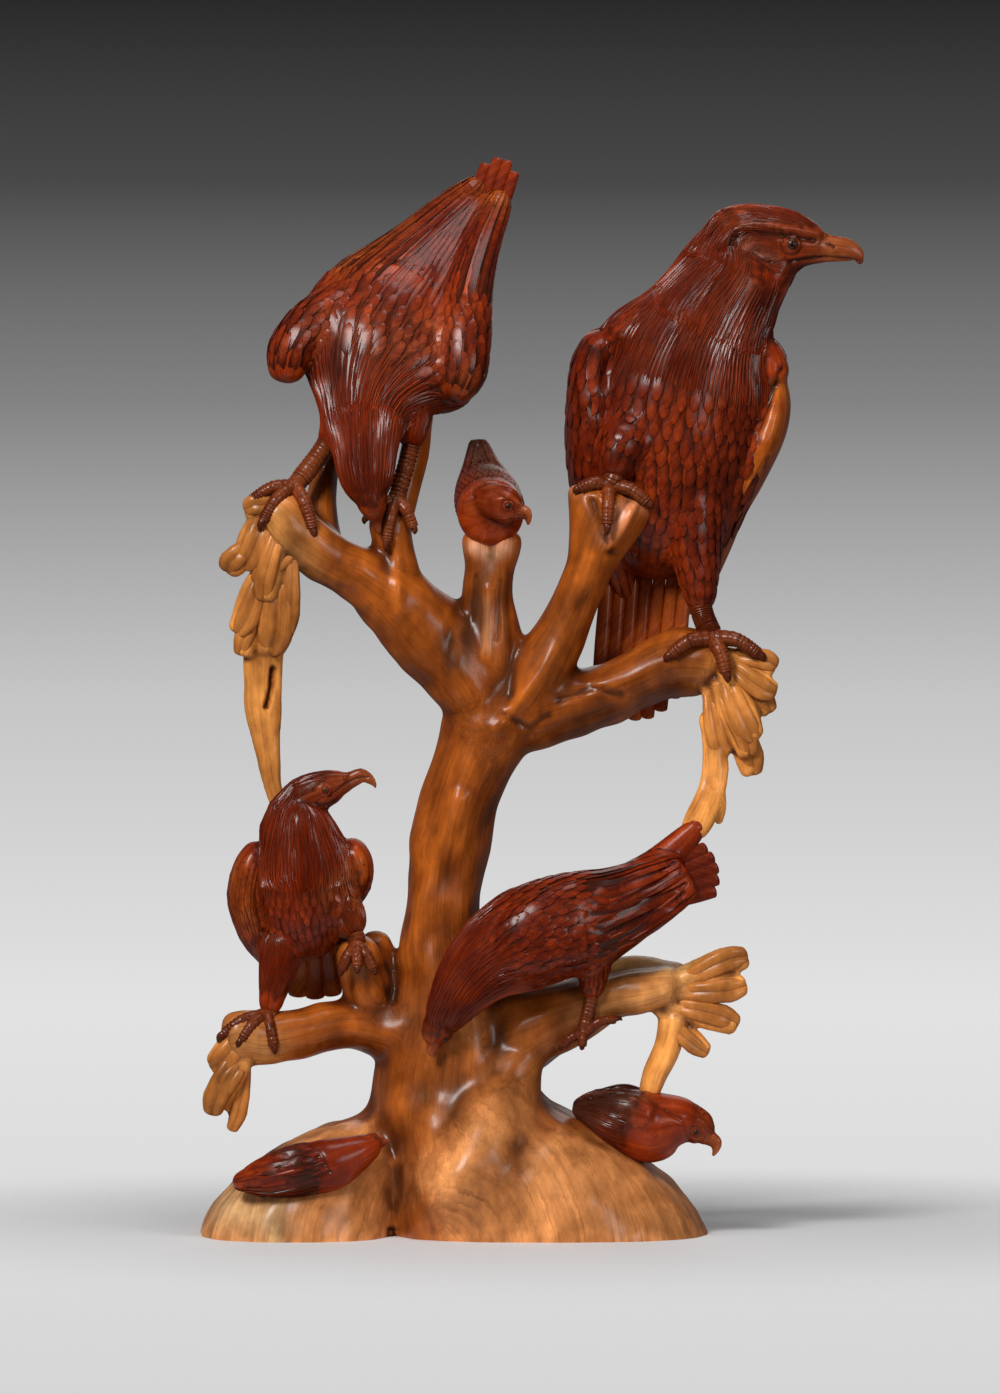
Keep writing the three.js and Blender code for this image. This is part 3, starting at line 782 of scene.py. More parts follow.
class Plumes:
    """Feathers of one zone, each on a path over the skin from its root to its tip."""

    def __init__(self, skin: Skin, host: Limb, zone: Zone, size: float, rng: np.random.Generator) -> None:
        """Find the paths, and leave out those that miss the skin or begin on a bare patch.

        Args:
            skin: The surface that carries the feathers.
            host: The limb that sets their direction.
            zone: The stretch and its kind of feather.
            size: The bird's feather size.
            rng: Seeded source of small irregularities.
        """
        self.host, self.zone, self.cut = host, zone, zone.feather.value
        self.scale = size * (zone.scale if self.cut.wide else 1.0)
        self.places, self.triangles = ball(self.cut.sides, self.cut.rings)
        levels, self.level = np.unique(np.round(self.places[:, 2], 5), return_inverse=True)
        self.way = (1 - np.sign(levels) * np.abs(levels) ** self.cut.blunt) / 2
        start, end = zone.set_out(host, size, rng)
        share = start[:, :1] + (end[:, :1] - start[:, :1]) * self.way
        around = start[:, 1:] + (end[:, 1:] - start[:, 1:]) * self.way
        path = to_metres(host.skin(np.clip(share, 0.01, 0.99), around))
        spots, normals, moved = skin.nearest(path.reshape(-1, 3))
        spots, normals = spots.reshape(path.shape), normals.reshape(path.shape)
        middle = len(self.way) // 2
        clearance = HOOD_CLEARANCE if host.name == "hood" else SKIN_CLEARANCE
        kept = moved.reshape(share.shape)[:, middle] < clearance
        for column, row, radius in skin.bare:
            for station in (-1, -1 - len(self.way) // 4, middle):
                kept &= np.linalg.norm(seen(spots[:, station]) - (column, row), axis=1) > radius
        self.share = share[kept]
        self.spots, self.normals = self.eased(skin, spots[kept], normals[kept])

    def eased(self, skin: Skin, spots: np.ndarray, normals: np.ndarray) -> tuple[np.ndarray, np.ndarray]:
        """Ease the paths over bumps.

        Args:
            skin: The surface under them.
            spots: Places along each path.
            normals: Normals along each path.

        Returns:
            The eased places, back on the surface, and the eased normals.
        """
        for _ in range(2):
            normals[:, 1:-1] = normals[:, :-2] + normals[:, 1:-1] + normals[:, 2:]
            spots[:, 1:-1] = (spots[:, :-2] + 2 * spots[:, 1:-1] + spots[:, 2:]) / 4
        return skin.nearest(spots.reshape(-1, 3))[0].reshape(spots.shape), unit(normals)

    def half_widths(self, full: np.ndarray) -> np.ndarray:
        """Work out each feather's half width along its path, in metres."""
        if self.cut.wide:
            half = np.full(self.share.shape, self.cut.wide * self.scale / 2)
        else:
            half = QUILL_COVER / self.zone.quills * self.host.girth(np.clip(self.share, 0, 1)) / 2
        return half * (full * (1 - self.cut.point * self.way**1.6))[None] * 0.001

    def block(self) -> Block:
        """Draw the feathers out along their paths.

        Returns:
            The feathers as one block, whose tint holds each place's feather number.
        """
        cut, way, level, scale = self.cut, self.way, self.level, self.scale
        spots, normals, count = self.spots, self.normals, len(self.spots)
        turn = np.arctan2(self.places[:, 1], self.places[:, 0])
        full = np.sqrt(np.clip(6 * way, 0, 1) * np.clip(1 - np.clip((way - 0.74) / 0.26, 0, 1) ** 2, 0, 1))
        heading = unit(np.gradient(spots, axis=1) + 1e-9)
        across = unit(np.cross(normals, heading))
        sunk = cut.thick * cut.sunk
        rise = ((cut.lift + sunk) * way - sunk)[None, :, None] * scale * 0.001
        thick = (cut.thick * scale / 2 * full)[None, :, None] * 0.001
        flank = np.sign(np.cos(turn)) * np.abs(np.cos(turn)) ** cut.flat
        flank = np.where(np.abs(np.cos(turn)) < 1e-6, 0, flank)
        rising = np.sin(turn) + cut.tilt * flank
        side = self.half_widths(full)[:, level] * flank
        out = spots[:, level] + across[:, level] * side[..., None]
        out = out + normals[:, level] * (rise[:, level] + thick[:, level] * rising[None, :, None])
        span = np.linalg.norm(np.diff(spots, axis=1), axis=2).sum(axis=1)[:, None]
        along = span * way[level][None]
        seed = np.broadcast_to(np.arange(count)[:, None] * 0.731, side.shape)
        flow = barbs(along, side, seed) if cut.barbed else np.stack([along, side, seed], axis=2)
        # Painted shade on each feather's flanks and underside and painted light along its top, then painted
        # shade at its root under the feather above and under its neighbour's edge
        depth = np.interp(np.sin(turn), [-0.5, 0.1, 0.85], [1, 0.95, -0.3])[None] * np.ones((count, 1))
        depth = depth + np.interp(way[level], [0.1, 0.7], [cut.root_shade, 0])[None]
        depth = depth + cut.overlap * np.clip(-flank, 0, 1)[None]
        shift = np.arange(count)[:, None, None] * len(self.places)
        triangles = (self.triangles[None] + shift).reshape(-1, 3)
        numbers = np.repeat(np.arange(count), len(self.places))
        return Block(out.reshape(-1, 3), triangles, flow.reshape(-1, 3), numbers, depth.reshape(-1))


def flow_over(places: np.ndarray, hosts: list[Limb]) -> tuple[np.ndarray, np.ndarray]:
    """Find the limb that each place lies on and how the grain runs there.

    Args:
        places: Places in metres.
        hosts: The limbs.

    Returns:
        Distance along, distance round and limb seed in metres, and each place's limb number.
    """
    spots = places * 1000 + np.array([0.0, 0.0, UNDERSIDE * SQUARE])
    best = np.full(len(spots), np.inf)
    flow = np.zeros((len(spots), 3))
    owner = np.zeros(len(spots), int)
    for number, host in enumerate(hosts):
        share = np.linspace(0.002, 0.998, int(np.clip(host.length / 6, 8, 90)))
        middle, side, outward, half = host.section(share)
        heading = np.cross(side, outward)
        margin = half.max() + 25
        near = np.all((spots > middle.min(0) - margin) & (spots < middle.max(0) + margin), axis=1)
        index = np.flatnonzero(near)
        if not len(index):
            continue
        local = spots[index]
        gaps = (local**2).sum(1)[:, None] + (middle**2).sum(1)[None] - 2 * local @ middle.T
        station = gaps.argmin(axis=1)
        gap = local - middle[station]
        wide = (gap * side[station]).sum(1)
        deep = (gap * outward[station]).sum(1)
        along = (gap * heading[station]).sum(1)
        radial = np.hypot(wide / half[station, 0], deep / half[station, 1])
        size = half[station].min(axis=1)
        beyond = np.where((station == 0) | (station == len(share) - 1), np.abs(along), 0)
        score = np.abs(radial - 1) * size + np.maximum(0, beyond - size)
        better = score < best[index]
        index, station = index[better], station[better]
        best[index] = score[better]
        owner[index] = number
        turn = np.arctan2(deep[better], wide[better])
        flow[index, 0] = (np.interp(share[station], host.shares, host.reach) + along[better]) * 0.001
        flow[index, 1] = turn * half.mean() * 0.001
        flow[index, 2] = number * 0.37
    return flow, owner


@dataclass(frozen=True)
class Finish:
    """Oiled and lacquered carved wood, coloured by each piece's own tint."""

    name: str
    groove: tuple  # painted shade colour at the bottom of a cut and in other shaded places
    streak: float  # how much the grain's streaks differ in brightness
    blotch: float  # how much broad patches differ in brightness
    warm: float  # power by which shade turns the colour redder
    lines: float  # strength of the fine raised grain
    line_pitch: float  # from one raised line to the next, in metres
    rough: float  # roughness of the oiled wood
    coat: float  # weight of the lacquer
    ripple: float  # height of the gouge's ripples, in metres
    tinge: tuple  # colour of the lacquer's gloss

    def material(self) -> bpy.types.Material:
        """Build the finish from nodes."""
        material = bpy.data.materials.new(self.name)
        wiring = Wiring(material)
        shader = wiring.nodes["Principled BSDF"]
        gloss = {"Coat Weight": self.coat, "Coat Roughness": 0.22, "Coat Tint": self.tinge}
        wiring.fill(shader, {**gloss, "Specular IOR Level": 0.12, "Specular Tint": self.tinge})
        flow = wiring.add("Attribute", attribute_name="flow").outputs["Vector"]
        tint = wiring.add("Attribute", attribute_name="tint").outputs["Color"]
        painted_shading = wiring.add("Attribute", attribute_name="painted_shading").outputs["Fac"]
        space = wiring.add("TexCoord").outputs["Object"]
        streak = wiring.noise(flow, (5, 90, 1), 6)
        shade = self.shade(wiring, flow, space, streak)
        # Painted light: raised parts are made up to 1.3 times brighter
        shade = wiring.times(shade, wiring.ranged(painted_shading, (-1, 0), (1.3, 1)))
        tone = wiring.add("VectorMath", operation="MULTIPLY")
        wiring.link(tint, tone.inputs[0])
        wiring.link(self.warmed(wiring, shade), tone.inputs[1])
        # Painted shade: cuts and shaded places are mixed toward the groove colour
        dark = wiring.add("Mix", data_type="RGBA")
        dark.inputs[7].default_value = (*self.groove, 1)
        wiring.link(wiring.ranged(painted_shading, (0.05, 0.9), (0, 0.92)), dark.inputs[0])
        wiring.link(tone.outputs[0], dark.inputs[6])
        wiring.link(dark.outputs[2], shader.inputs["Base Color"])
        rough = wiring.ranged(streak, NOISE_RANGE, (self.rough + 0.08, self.rough - 0.05))
        wiring.link(rough, shader.inputs["Roughness"])
        lines = wiring.bump(wiring.noise(flow, (16, 1 / self.line_pitch, 1), 2), self.lines, 0.0016)
        ripple = wiring.bump(wiring.noise(flow, (9, 55, 1), 3), 0.5, self.ripple)
        wiring.link(lines.outputs["Normal"], ripple.inputs["Normal"])
        wiring.link(ripple.outputs["Normal"], shader.inputs["Normal"])
        return material

    def shade(self, wiring: Wiring, flow: Socket, space: Socket, streak: Socket) -> Socket:
        """Multiply the streaks, blotches, mottle and pores of the wood.

        Args:
            wiring: The material's nodes.
            flow: Places along and across the grain.
            space: Places in the carving.
            streak: The streaks' noise.

        Returns:
            The brightness, about 1.
        """
        spans = (
            (streak, self.streak),
            (wiring.noise(space, (11, 11, 7), 4), self.blotch),
            (wiring.noise(space, (38, 38, 24), 6), 0.6 * self.blotch),
        )
        parts = [wiring.ranged(noise, NOISE_RANGE, (1 - span, 1 + span)) for noise, span in spans]
        pores = wiring.ranged(wiring.noise(flow, (14, 420, 1), 3), (0.52, 0.75), (1, 0.62))
        return wiring.times(wiring.times(wiring.times(parts[0], parts[1]), parts[2]), pores)

    def warmed(self, wiring: Wiring, shade: Socket) -> Socket:
        """Turn brightness into a factor for red, green and blue, where shade is redder than light."""
        hue = wiring.add("CombineXYZ")
        for channel, power in enumerate((1, self.warm, self.warm * 1.1)):
            curve = wiring.add("Math", operation="POWER")
            curve.inputs[1].default_value = power
            wiring.link(shade, curve.inputs[0])
            wiring.link(curve.outputs[0], hue.inputs[channel])
        return hue.outputs[0]


@dataclass
class Piece:
    """One fused form of the carving, from its shells to its dressed mesh."""

    name: str
    forms: list
    hosts: list  # the limbs that the grain and the tints follow
    voxel: float  # size of the remesh's cells, in millimetres
    rounds: int  # how often creases are filled
    budget: int  # triangles left in the skin
    colours: dict  # tint of each part by its name; the empty name is for all others
    late: list = field(default_factory=list)  # thin limbs fused after the creases are filled
    marks: list = field(default_factory=list)  # grooves and ridges
    stains_and_painted_light: list = field(default_factory=list)  # stains, and patches of painted shade and painted highlight
    eyes: list = field(default_factory=list)
    soften: int = 12  # how often the tints are evened out
    calm: float = 0.0  # height in metres below which the surface is evened out
    uneven: float = 0.25  # depth of the tool's broad marks

    def fused(self) -> bpy.types.Mesh:
        """Fuse the forms into one skin, fill its creases, cut the marks and thin the mesh to its budget."""
        remesh = ("REMESH", {"mode": "VOXEL", "voxel_size": self.voxel * 0.001})
        smooth = ("SMOOTH", {"factor": 0.5, "iterations": 2})
        shells = [limb.shell(48, 48) for limb in self.forms]
        mesh = worked(new_mesh(self.name, *gathered(shells)), [remesh, smooth])
        filled(mesh, self.rounds)
        if self.late:
            mesh = worked(mesh, [("TRIANGULATE", {})])
            shells = [(mesh_places(mesh), mesh_triangles(mesh))] + [limb.shell(28, 32) for limb in self.late]
            mesh = worked(new_mesh(self.name, *gathered(shells)), [remesh, smooth])
            filled(mesh, 4)
        if self.calm:
            self.calmed(mesh)
        self.cut(mesh)
        ratio = min(1.0, self.budget / (2 * len(mesh.polygons)))
        return worked(mesh, [("DECIMATE", {"ratio": ratio, "use_collapse_triangulate": True})])

    def calmed(self, mesh: bpy.types.Mesh) -> None:
        """Even out the foot, but not its sawn edge."""
        places = mesh_places(mesh)
        weight = np.clip((self.calm - places[:, 2]) / 0.06, 0, 1) * np.clip(places[:, 2] / 0.025, 0, 1)
        evened = Neighbours(mesh).average(places, 160)
        move(mesh, places + (evened - places) * weight[:, None])

    def cut(self, mesh: bpy.types.Mesh) -> None:
        """Cut the tool's broad marks all over, and grooves, ridges and eye sockets on the viewer's side."""
        places, normals = mesh_places(mesh), mesh_normals(mesh)
        spots = seen(places)
        facing = np.clip(-1.6 * normals[:, 1], 0, 1)
        rng = np.random.default_rng(7)
        sunk = np.zeros(len(places))
        for length in rng.uniform(*TOOL_WAVES, 22):
            wave = unit(rng.normal(size=3)) * 2 * np.pi / length
            sunk += self.uneven * length / 0.045 * 0.3 * np.sin(places @ wave + rng.uniform(0, 6.28))
        for mark in self.marks:
            gap = distance_to_line(spots, mark.points)
            sunk += mark.deep * np.exp(-((gap / mark.half) ** 2)) * facing
        for eye in self.eyes:
            gap = np.linalg.norm(spots - (eye.column, eye.row), axis=1) / eye.radius
            side = np.abs(normals[:, 1]) if eye.through else facing
            lid = 0.12 * np.exp(-(((gap - 1.08) / 0.2) ** 2))
            socket = 0.12 * np.exp(-(((gap - 1.5) / 0.3) ** 2))
            sunk -= (lid - socket) * eye.radius * 1.2 * np.clip(1.5 * side, 0, 1)
        places = places - normals * (sunk * 0.001)[:, None]
        places[:, 2] = np.maximum(places[:, 2], 0)
        move(mesh, places)

    def skin_block(self, mesh: bpy.types.Mesh) -> Block:
        """Turn the fused skin into a block with its tints, with painted shade in its cuts and hollows and
        painted light on its ridges.
        """
        places, triangles = mesh_places(mesh), mesh_triangles(mesh)
        flow, owner = flow_over(places, self.hosts)
        near = Neighbours(mesh)
        tints = near.average(self.tint_of([host.name for host in self.hosts])[owner], self.soften)
        normals = mesh_normals(mesh)
        # Painted shade in fine cuts and painted light on fine ridges
        painted_shading = ((near.average(places, 6) - places) * normals).sum(axis=1) / CUT_DEPTH
        # Painted shade in broad hollows, down to 0.38 of the tint, and painted light on broad ridges
        hollow = ((near.average(places, 60) - places) * normals).sum(axis=1) / HOLLOW_DEPTH
        tints = tints * (1 - np.clip(hollow, -0.35, 0.62))[:, None] ** np.array([1, 1.25, 1.4])
        return Block(places, triangles, flow, tints, np.clip(painted_shading, -1, 1))

    def tint_of(self, names: list) -> np.ndarray:
        """Look up the colours of parts."""
        return np.array([self.colours.get(name, self.colours[""]) for name in names], float)

    def limb_block(self, limb: Limb, sides: int, rings: int) -> Block:
        """Draw a limb as a block of its own.

        Args:
            limb: A tail feather, a toe or a leaf lobe.
            sides: Faces round it.
            rings: Faces along it.

        Returns:
            The block.
        """
        places, triangles = limb.shell(sides, rings)
        flow, _ = flow_over(places, [limb])
        if limb.name == "tail":
            flow = barbs(*flow.T)
        depth = np.zeros(len(places))
        # Painted shade in the leaf's hollow and on its underside, painted light along its rim
        if limb.spoon:
            ball_places, _ = ball(sides, rings)
            turn = np.arctan2(ball_places[:, 1], ball_places[:, 0])
            depth = 0.6 * np.exp(-((np.cos(turn) / 0.3) ** 2)) + 0.7 * (np.sin(turn) < 0.15) - 0.3
        # Painted shade in the creases between the toe's scutes
        if limb.scutes:
            depth = 0.7 * (1 - np.abs(np.sin(np.pi * flow[:, 0] * 1000 / limb.scutes))) ** 2 - 0.1
        shade = 0.86 + 0.28 * abs(math.sin(7 * limb.length))
        return Block(places, triangles, flow, self.tint_of([limb.name] * len(places)) * shade, depth)

    def eyeballs(self, skin: Skin) -> list[Block]:
        """Set the eyes into the skin."""
        blocks = []
        camera = Vector(CAMERA_PLACE)
        for eye in self.eyes:
            across = (eye.column - MIDDLE_COLUMN) * FINE_LINE
            up = (LOWEST_ROW - eye.row) * FINE_LINE - UNDERSIDE * SQUARE * 0.001
            aim = (Vector((across, 0, up)) - camera).normalized()
            near = skin.tree.ray_cast(camera, aim)[0]
            hits = [(near, aim)]
            if eye.through and near is not None:
                hits.append((skin.tree.ray_cast(near + aim * 2, -aim)[0], -aim))
            radius = eye.radius * FINE_LINE
            blocks += [self.eyeball(place, line, radius) for place, line in hits if place is not None]
        return blocks

    def eyeball(self, place: Vector, line: Vector, radius: float) -> Block:
        """Draw one eye with its dark pupil and the ring round it.

        Args:
            place: Where the line of sight meets the skin.
            line: The line of sight.
            radius: The eye's radius in metres.

        Returns:
            The eye.
        """
        places, triangles = ball(24, 16)
        centre = np.array(place + line * radius * 0.62)
        front = places @ -np.array(line)
        iris = np.where((front > 0.9)[:, None], (0.003, 0.002, 0.002), (0.07, 0.022, 0.012))
        tint = np.where(((front > 0.72) & (front < 0.8))[:, None], (0.01, 0.005, 0.003), iris)
        flow = np.zeros((len(places), 3))
        return Block(centre + places * radius, triangles, flow, tint, np.zeros(len(places)))

    def make(self, blocks: list[Block], material: bpy.types.Material) -> bpy.types.Object:
        """Put the piece together and in its place.

        Args:
            blocks: The skin and everything that stands on it.
            material: The finish.

        Returns:
            The finished object.
        """
        places, triangles = gathered([(block.places, block.triangles) for block in blocks])
        mesh = new_mesh(self.name, places, triangles)
        tints = np.vstack([block.tint for block in blocks])
        spots, normals = seen(places), mesh_normals(mesh)
        # Stains, painted shade and painted highlights, laid over the tints
        for colour_patch in self.stains_and_painted_light:
            gap = distance_to_line(spots, colour_patch.points) / colour_patch.half
            weight = colour_patch.strength * np.exp(-(gap**2)) * np.clip(0.6 - 2 * normals[:, 1], 0, 1)
            tints = tints + (np.array(colour_patch.colour) - tints) * weight[:, None]
        flow = np.vstack([block.flow for block in blocks])
        colours = np.concatenate([tints, np.ones((len(tints), 1))], axis=1)
        painted_shading = np.concatenate([block.painted_shading for block in blocks])
        attributes = (
            ("flow", "FLOAT_VECTOR", "vector", flow),
            ("tint", "FLOAT_COLOR", "color", colours),
            ("painted_shading", "FLOAT", "value", painted_shading),
        )
        for name, kind, key, values in attributes:
            attribute = mesh.attributes.new(name, kind, "POINT")
            attribute.data.foreach_set(key, values.astype(np.float32).ravel())
        mesh.shade_smooth()
        mesh.set_sharp_from_angle(angle=math.radians(38))
        piece = placed(self.name, mesh)
        mesh.materials.append(material)
        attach(piece, "root")
        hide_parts(NODE)
        log.info("%s: %d triangles", self.name, len(mesh.polygons))
        return piece


@dataclass
class Bird:
    """One bird. Rows run from the neck to the rump, and on a wing from the wrist to the primaries."""

    name: str
    voxel: float  # size of the remesh's cells, in millimetres
    budget: int  # triangles left in its skin
    body: list
    wings: list
    head: Head
    plumage: list  # which feathers lie where
    facing: tuple = TOWARD_VIEWER  # the way that the body's depth is measured
    tail: Tail | None = None  # none where body and wings run out into it
    legs: list = field(default_factory=list)  # only those that can be seen
    mantle: list = field(default_factory=list)  # rows of further limbs that fill out the shoulders
    feather_size: float = 1.0  # size of its feathers against their cuts
    bare: list = field(default_factory=list)  # column, row and radius of each patch without feathers
    eyes: list = field(default_factory=list)
    marks: list = field(default_factory=list)
    stains_and_painted_light: list = field(default_factory=list)
    colours: dict = field(default_factory=dict)  # tints of parts that differ from the other birds'

    def hood(self) -> Limb:
        """Draw the way the hackles lie, from the beak over the head and down the neck."""
        row = self.head.row
        rows = [
            row(1.3 * self.head.reach, 0, -0.2, 0.6, 0.5), row(0.2, 0, -0.1, 1.1, 0.95),
            row(-0.6, 0, -0.05, 1.05, 0.95),
        ]
        return Limb([*rows, *self.body[1:4]], name="hood")

    def parts(self) -> dict[str, list[Limb]]:
        """Draw the bird's forms, by part."""
        return {
            "body": [Limb(self.body, facing=self.facing, name="body")],
            "mantle": [Limb(rows, name="body") for rows in self.mantle],
            "hood": [self.hood()],
            "wing": [Limb(rows, name=f"wing{number}") for number, rows in enumerate(self.wings)],
            "wing0": [Limb(rows, name="wing0") for rows in self.wings[:1]],
            "tail": self.tail.limbs() if self.tail else [],
            "skull": self.head.limbs(),
            "thigh": [leg.trouser() for leg in self.legs],
            "foot": [leg.shank() for leg in self.legs] + [toe for leg in self.legs for toe in leg.claws()],
        }

    def build(self, material: bpy.types.Material) -> bpy.types.Object:
        """Build the bird: its skin, its feathers, its feet and its eyes.

        Args:
            material: The finish.

        Returns:
            The finished object.
        """
        rng = np.random.default_rng(len(self.name) * 101)
        parts = self.parts()
        forms = [limb for part in ("body", "mantle", "wing", "skull", "thigh") for limb in parts[part]]
        piece = Piece(
            name=self.name, forms=forms, hosts=forms, voxel=self.voxel, rounds=40, budget=self.budget,
            colours={**BIRD_COLOURS, **self.colours}, marks=self.marks, stains_and_painted_light=self.stains_and_painted_light, eyes=self.eyes,
        )
        mesh = piece.fused()
        skin = Skin(mesh, self.bare)
        blocks = [piece.limb_block(limb, 16, 24) for limb in parts["tail"]]
        blocks += [piece.limb_block(limb, 14, int(limb.length / TOE_RING)) for limb in parts["foot"]]
        hackles = []
        for zone in self.plumage:
            for host in parts[zone.part]:
                block = Plumes(skin, host, zone, self.feather_size, rng).block()
                if zone.feather is Feather.HACKLE:
                    hackles.append(block.places)
                shade = rng.uniform(0.8, 1.2, block.tint.max() + 1)[block.tint]
                block.tint = piece.tint_of([host.name])[0] * shade[:, None] ** np.array([1, 1.4, 1.4])
                blocks.append(block)
        ground = piece.skin_block(mesh)
        paint_shade_between_hackles(ground, hackles)
        bpy.data.meshes.remove(mesh)
        return piece.make([ground, *blocks, *piece.eyeballs(skin)], material)


def paint_shade_between_hackles(ground: Block, hackles: list[np.ndarray]) -> None:
    """Paint shade onto the skin close under the hackles.

    Args:
        ground: The bird's skin.
        hackles: The places of its hackles.
    """
    if not hackles:
        return
    spots = np.vstack(hackles)[::3]
    tree = KDTree(len(spots))
    for number, spot in enumerate(spots.tolist()):
        tree.insert(spot, number)
    tree.balance()
    gaps = np.array([tree.find(place)[2] for place in ground.places.tolist()])
    ground.painted_shading = np.maximum(ground.painted_shading, np.interp(gaps, [0.003, 0.007], [0.7, -0.1]))


@dataclass
class Tree:
    """The tree with its foot, its ties of sapwood and its sprays of leaf lobes."""

    boughs: list  # trunk, foot, boughs and limbs
    ties: list  # rows of each tie
    lobes: list  # each lobe's root, tip and half width
    marks: list
    stains_and_painted_light: list
    sinew: float = 0.035  # depth of the ripples along a bough, as a share of its size
    bows: tuple = (-0.6, 0.7)  # how far leaves bow to one side and the other in turn, in squares

    def leaf(self, root: list, tip: list, half: float, bend: float) -> tuple[Limb, Limb]:
        """Draw one leaf lobe.

        Args:
            root: Where it leaves the bough.
            tip: Where it ends.
            half: Half its width.
            bend: How far and to which side it bows.

        Returns:
            The stem that fuses with the bough, and the hollowed leaf in front of it.
        """
        root, tip = np.array(root, float), np.array(tip, float)
        run = tip - root
        bow = unit(np.cross(run, (0, 1, 0))) * bend
        front = np.array([0, -0.55 * half, 0])
        stem = [
            [*root, half * 0.7, half * 0.7],
            [*(root + run * 0.55), half * 0.95, half * 0.7],
            [*tip, half * 0.6, half * 0.5],
        ]
        blade = [
            [*(root + run * 0.1), half * 0.5, half * 0.4],
            [*(root + run * 0.4 + bow * 0.5 + front), half * 0.86, half * 0.5],
            [*(root + run * 0.75 + bow + front), half, half * 0.5],
            [*(tip + bow * 0.6), half * 0.66, half * 0.45],
        ]
        return Limb(stem, blunt=0.5, name="sapwood"), Limb(blade, blunt=0.55, name="sapwood", spoon=0.5)

    def build(self, material: bpy.types.Material) -> bpy.types.Object:
        """Build the tree.

        Args:
            material: The finish.

        Returns:
            The finished object.
        """
        for bough in self.boughs:
            bough.sinew = 0.0 if bough.level else self.sinew
        late = [Limb(rows, name="sapwood", sinew=0.05) for rows in self.ties]
        leaves = []
        for number, lobe in enumerate(self.lobes):
            stem, blade = self.leaf(*lobe, self.bows[number % 2])
            late.append(stem)
            leaves.append(blade)
        hosts = [bough for bough in self.boughs if bough.name != "foot_ridge"] + late
        piece = Piece(
            name="tree", forms=self.boughs, hosts=hosts, voxel=2.8, rounds=50, budget=135_000,
            colours=TREE_COLOURS, late=late, marks=self.marks, stains_and_painted_light=self.stains_and_painted_light,
            soften=40, calm=0.2, uneven=0.8,
        )
        blocks = [piece.skin_block(piece.fused())]
        blocks += [piece.limb_block(leaf, 24, 20) for leaf in leaves]
        return piece.make(blocks, material)


RED_WOOD = (0.185, 0.019, 0.0018)
ORANGE_WOOD = (0.40, 0.10, 0.013)
GOLDEN_WOOD = (0.215, 0.047, 0.005)
FOOT_WOOD = (0.38, 0.14, 0.043)
SAPWOOD = (0.54, 0.2, 0.044)
BIRD_COLOURS = {
    "": RED_WOOD, "skull": (0.15, 0.02, 0.003), "beak": (0.17, 0.035, 0.009), "foot": (0.15, 0.032, 0.008),
    "claw": (0.09, 0.018, 0.006),
}
TREE_COLOURS = {
    "": GOLDEN_WOOD, "sapwood": SAPWOOD, "right_lobe": FOOT_WOOD, "left_lobe": FOOT_WOOD,
    "foot_ridge": FOOT_WOOD,
}
BIRD_FINISH = Finish(
    name="red_heartwood", groove=(0.03, 0.005, 0.002), streak=0.38, blotch=0.5, warm=1.5, lines=0.8,
    line_pitch=0.0026, rough=0.42, coat=0.34, ripple=0.002, tinge=(1, 0.62, 0.42, 1),
)
TREE_FINISH = Finish(
    name="golden_wood", groove=(0.07, 0.018, 0.004), streak=0.24, blotch=0.5, warm=1.12, lines=0.2,
    line_pitch=0.003, rough=0.4, coat=0.3, ripple=0.004, tinge=(1, 0.78, 0.55, 1),
)
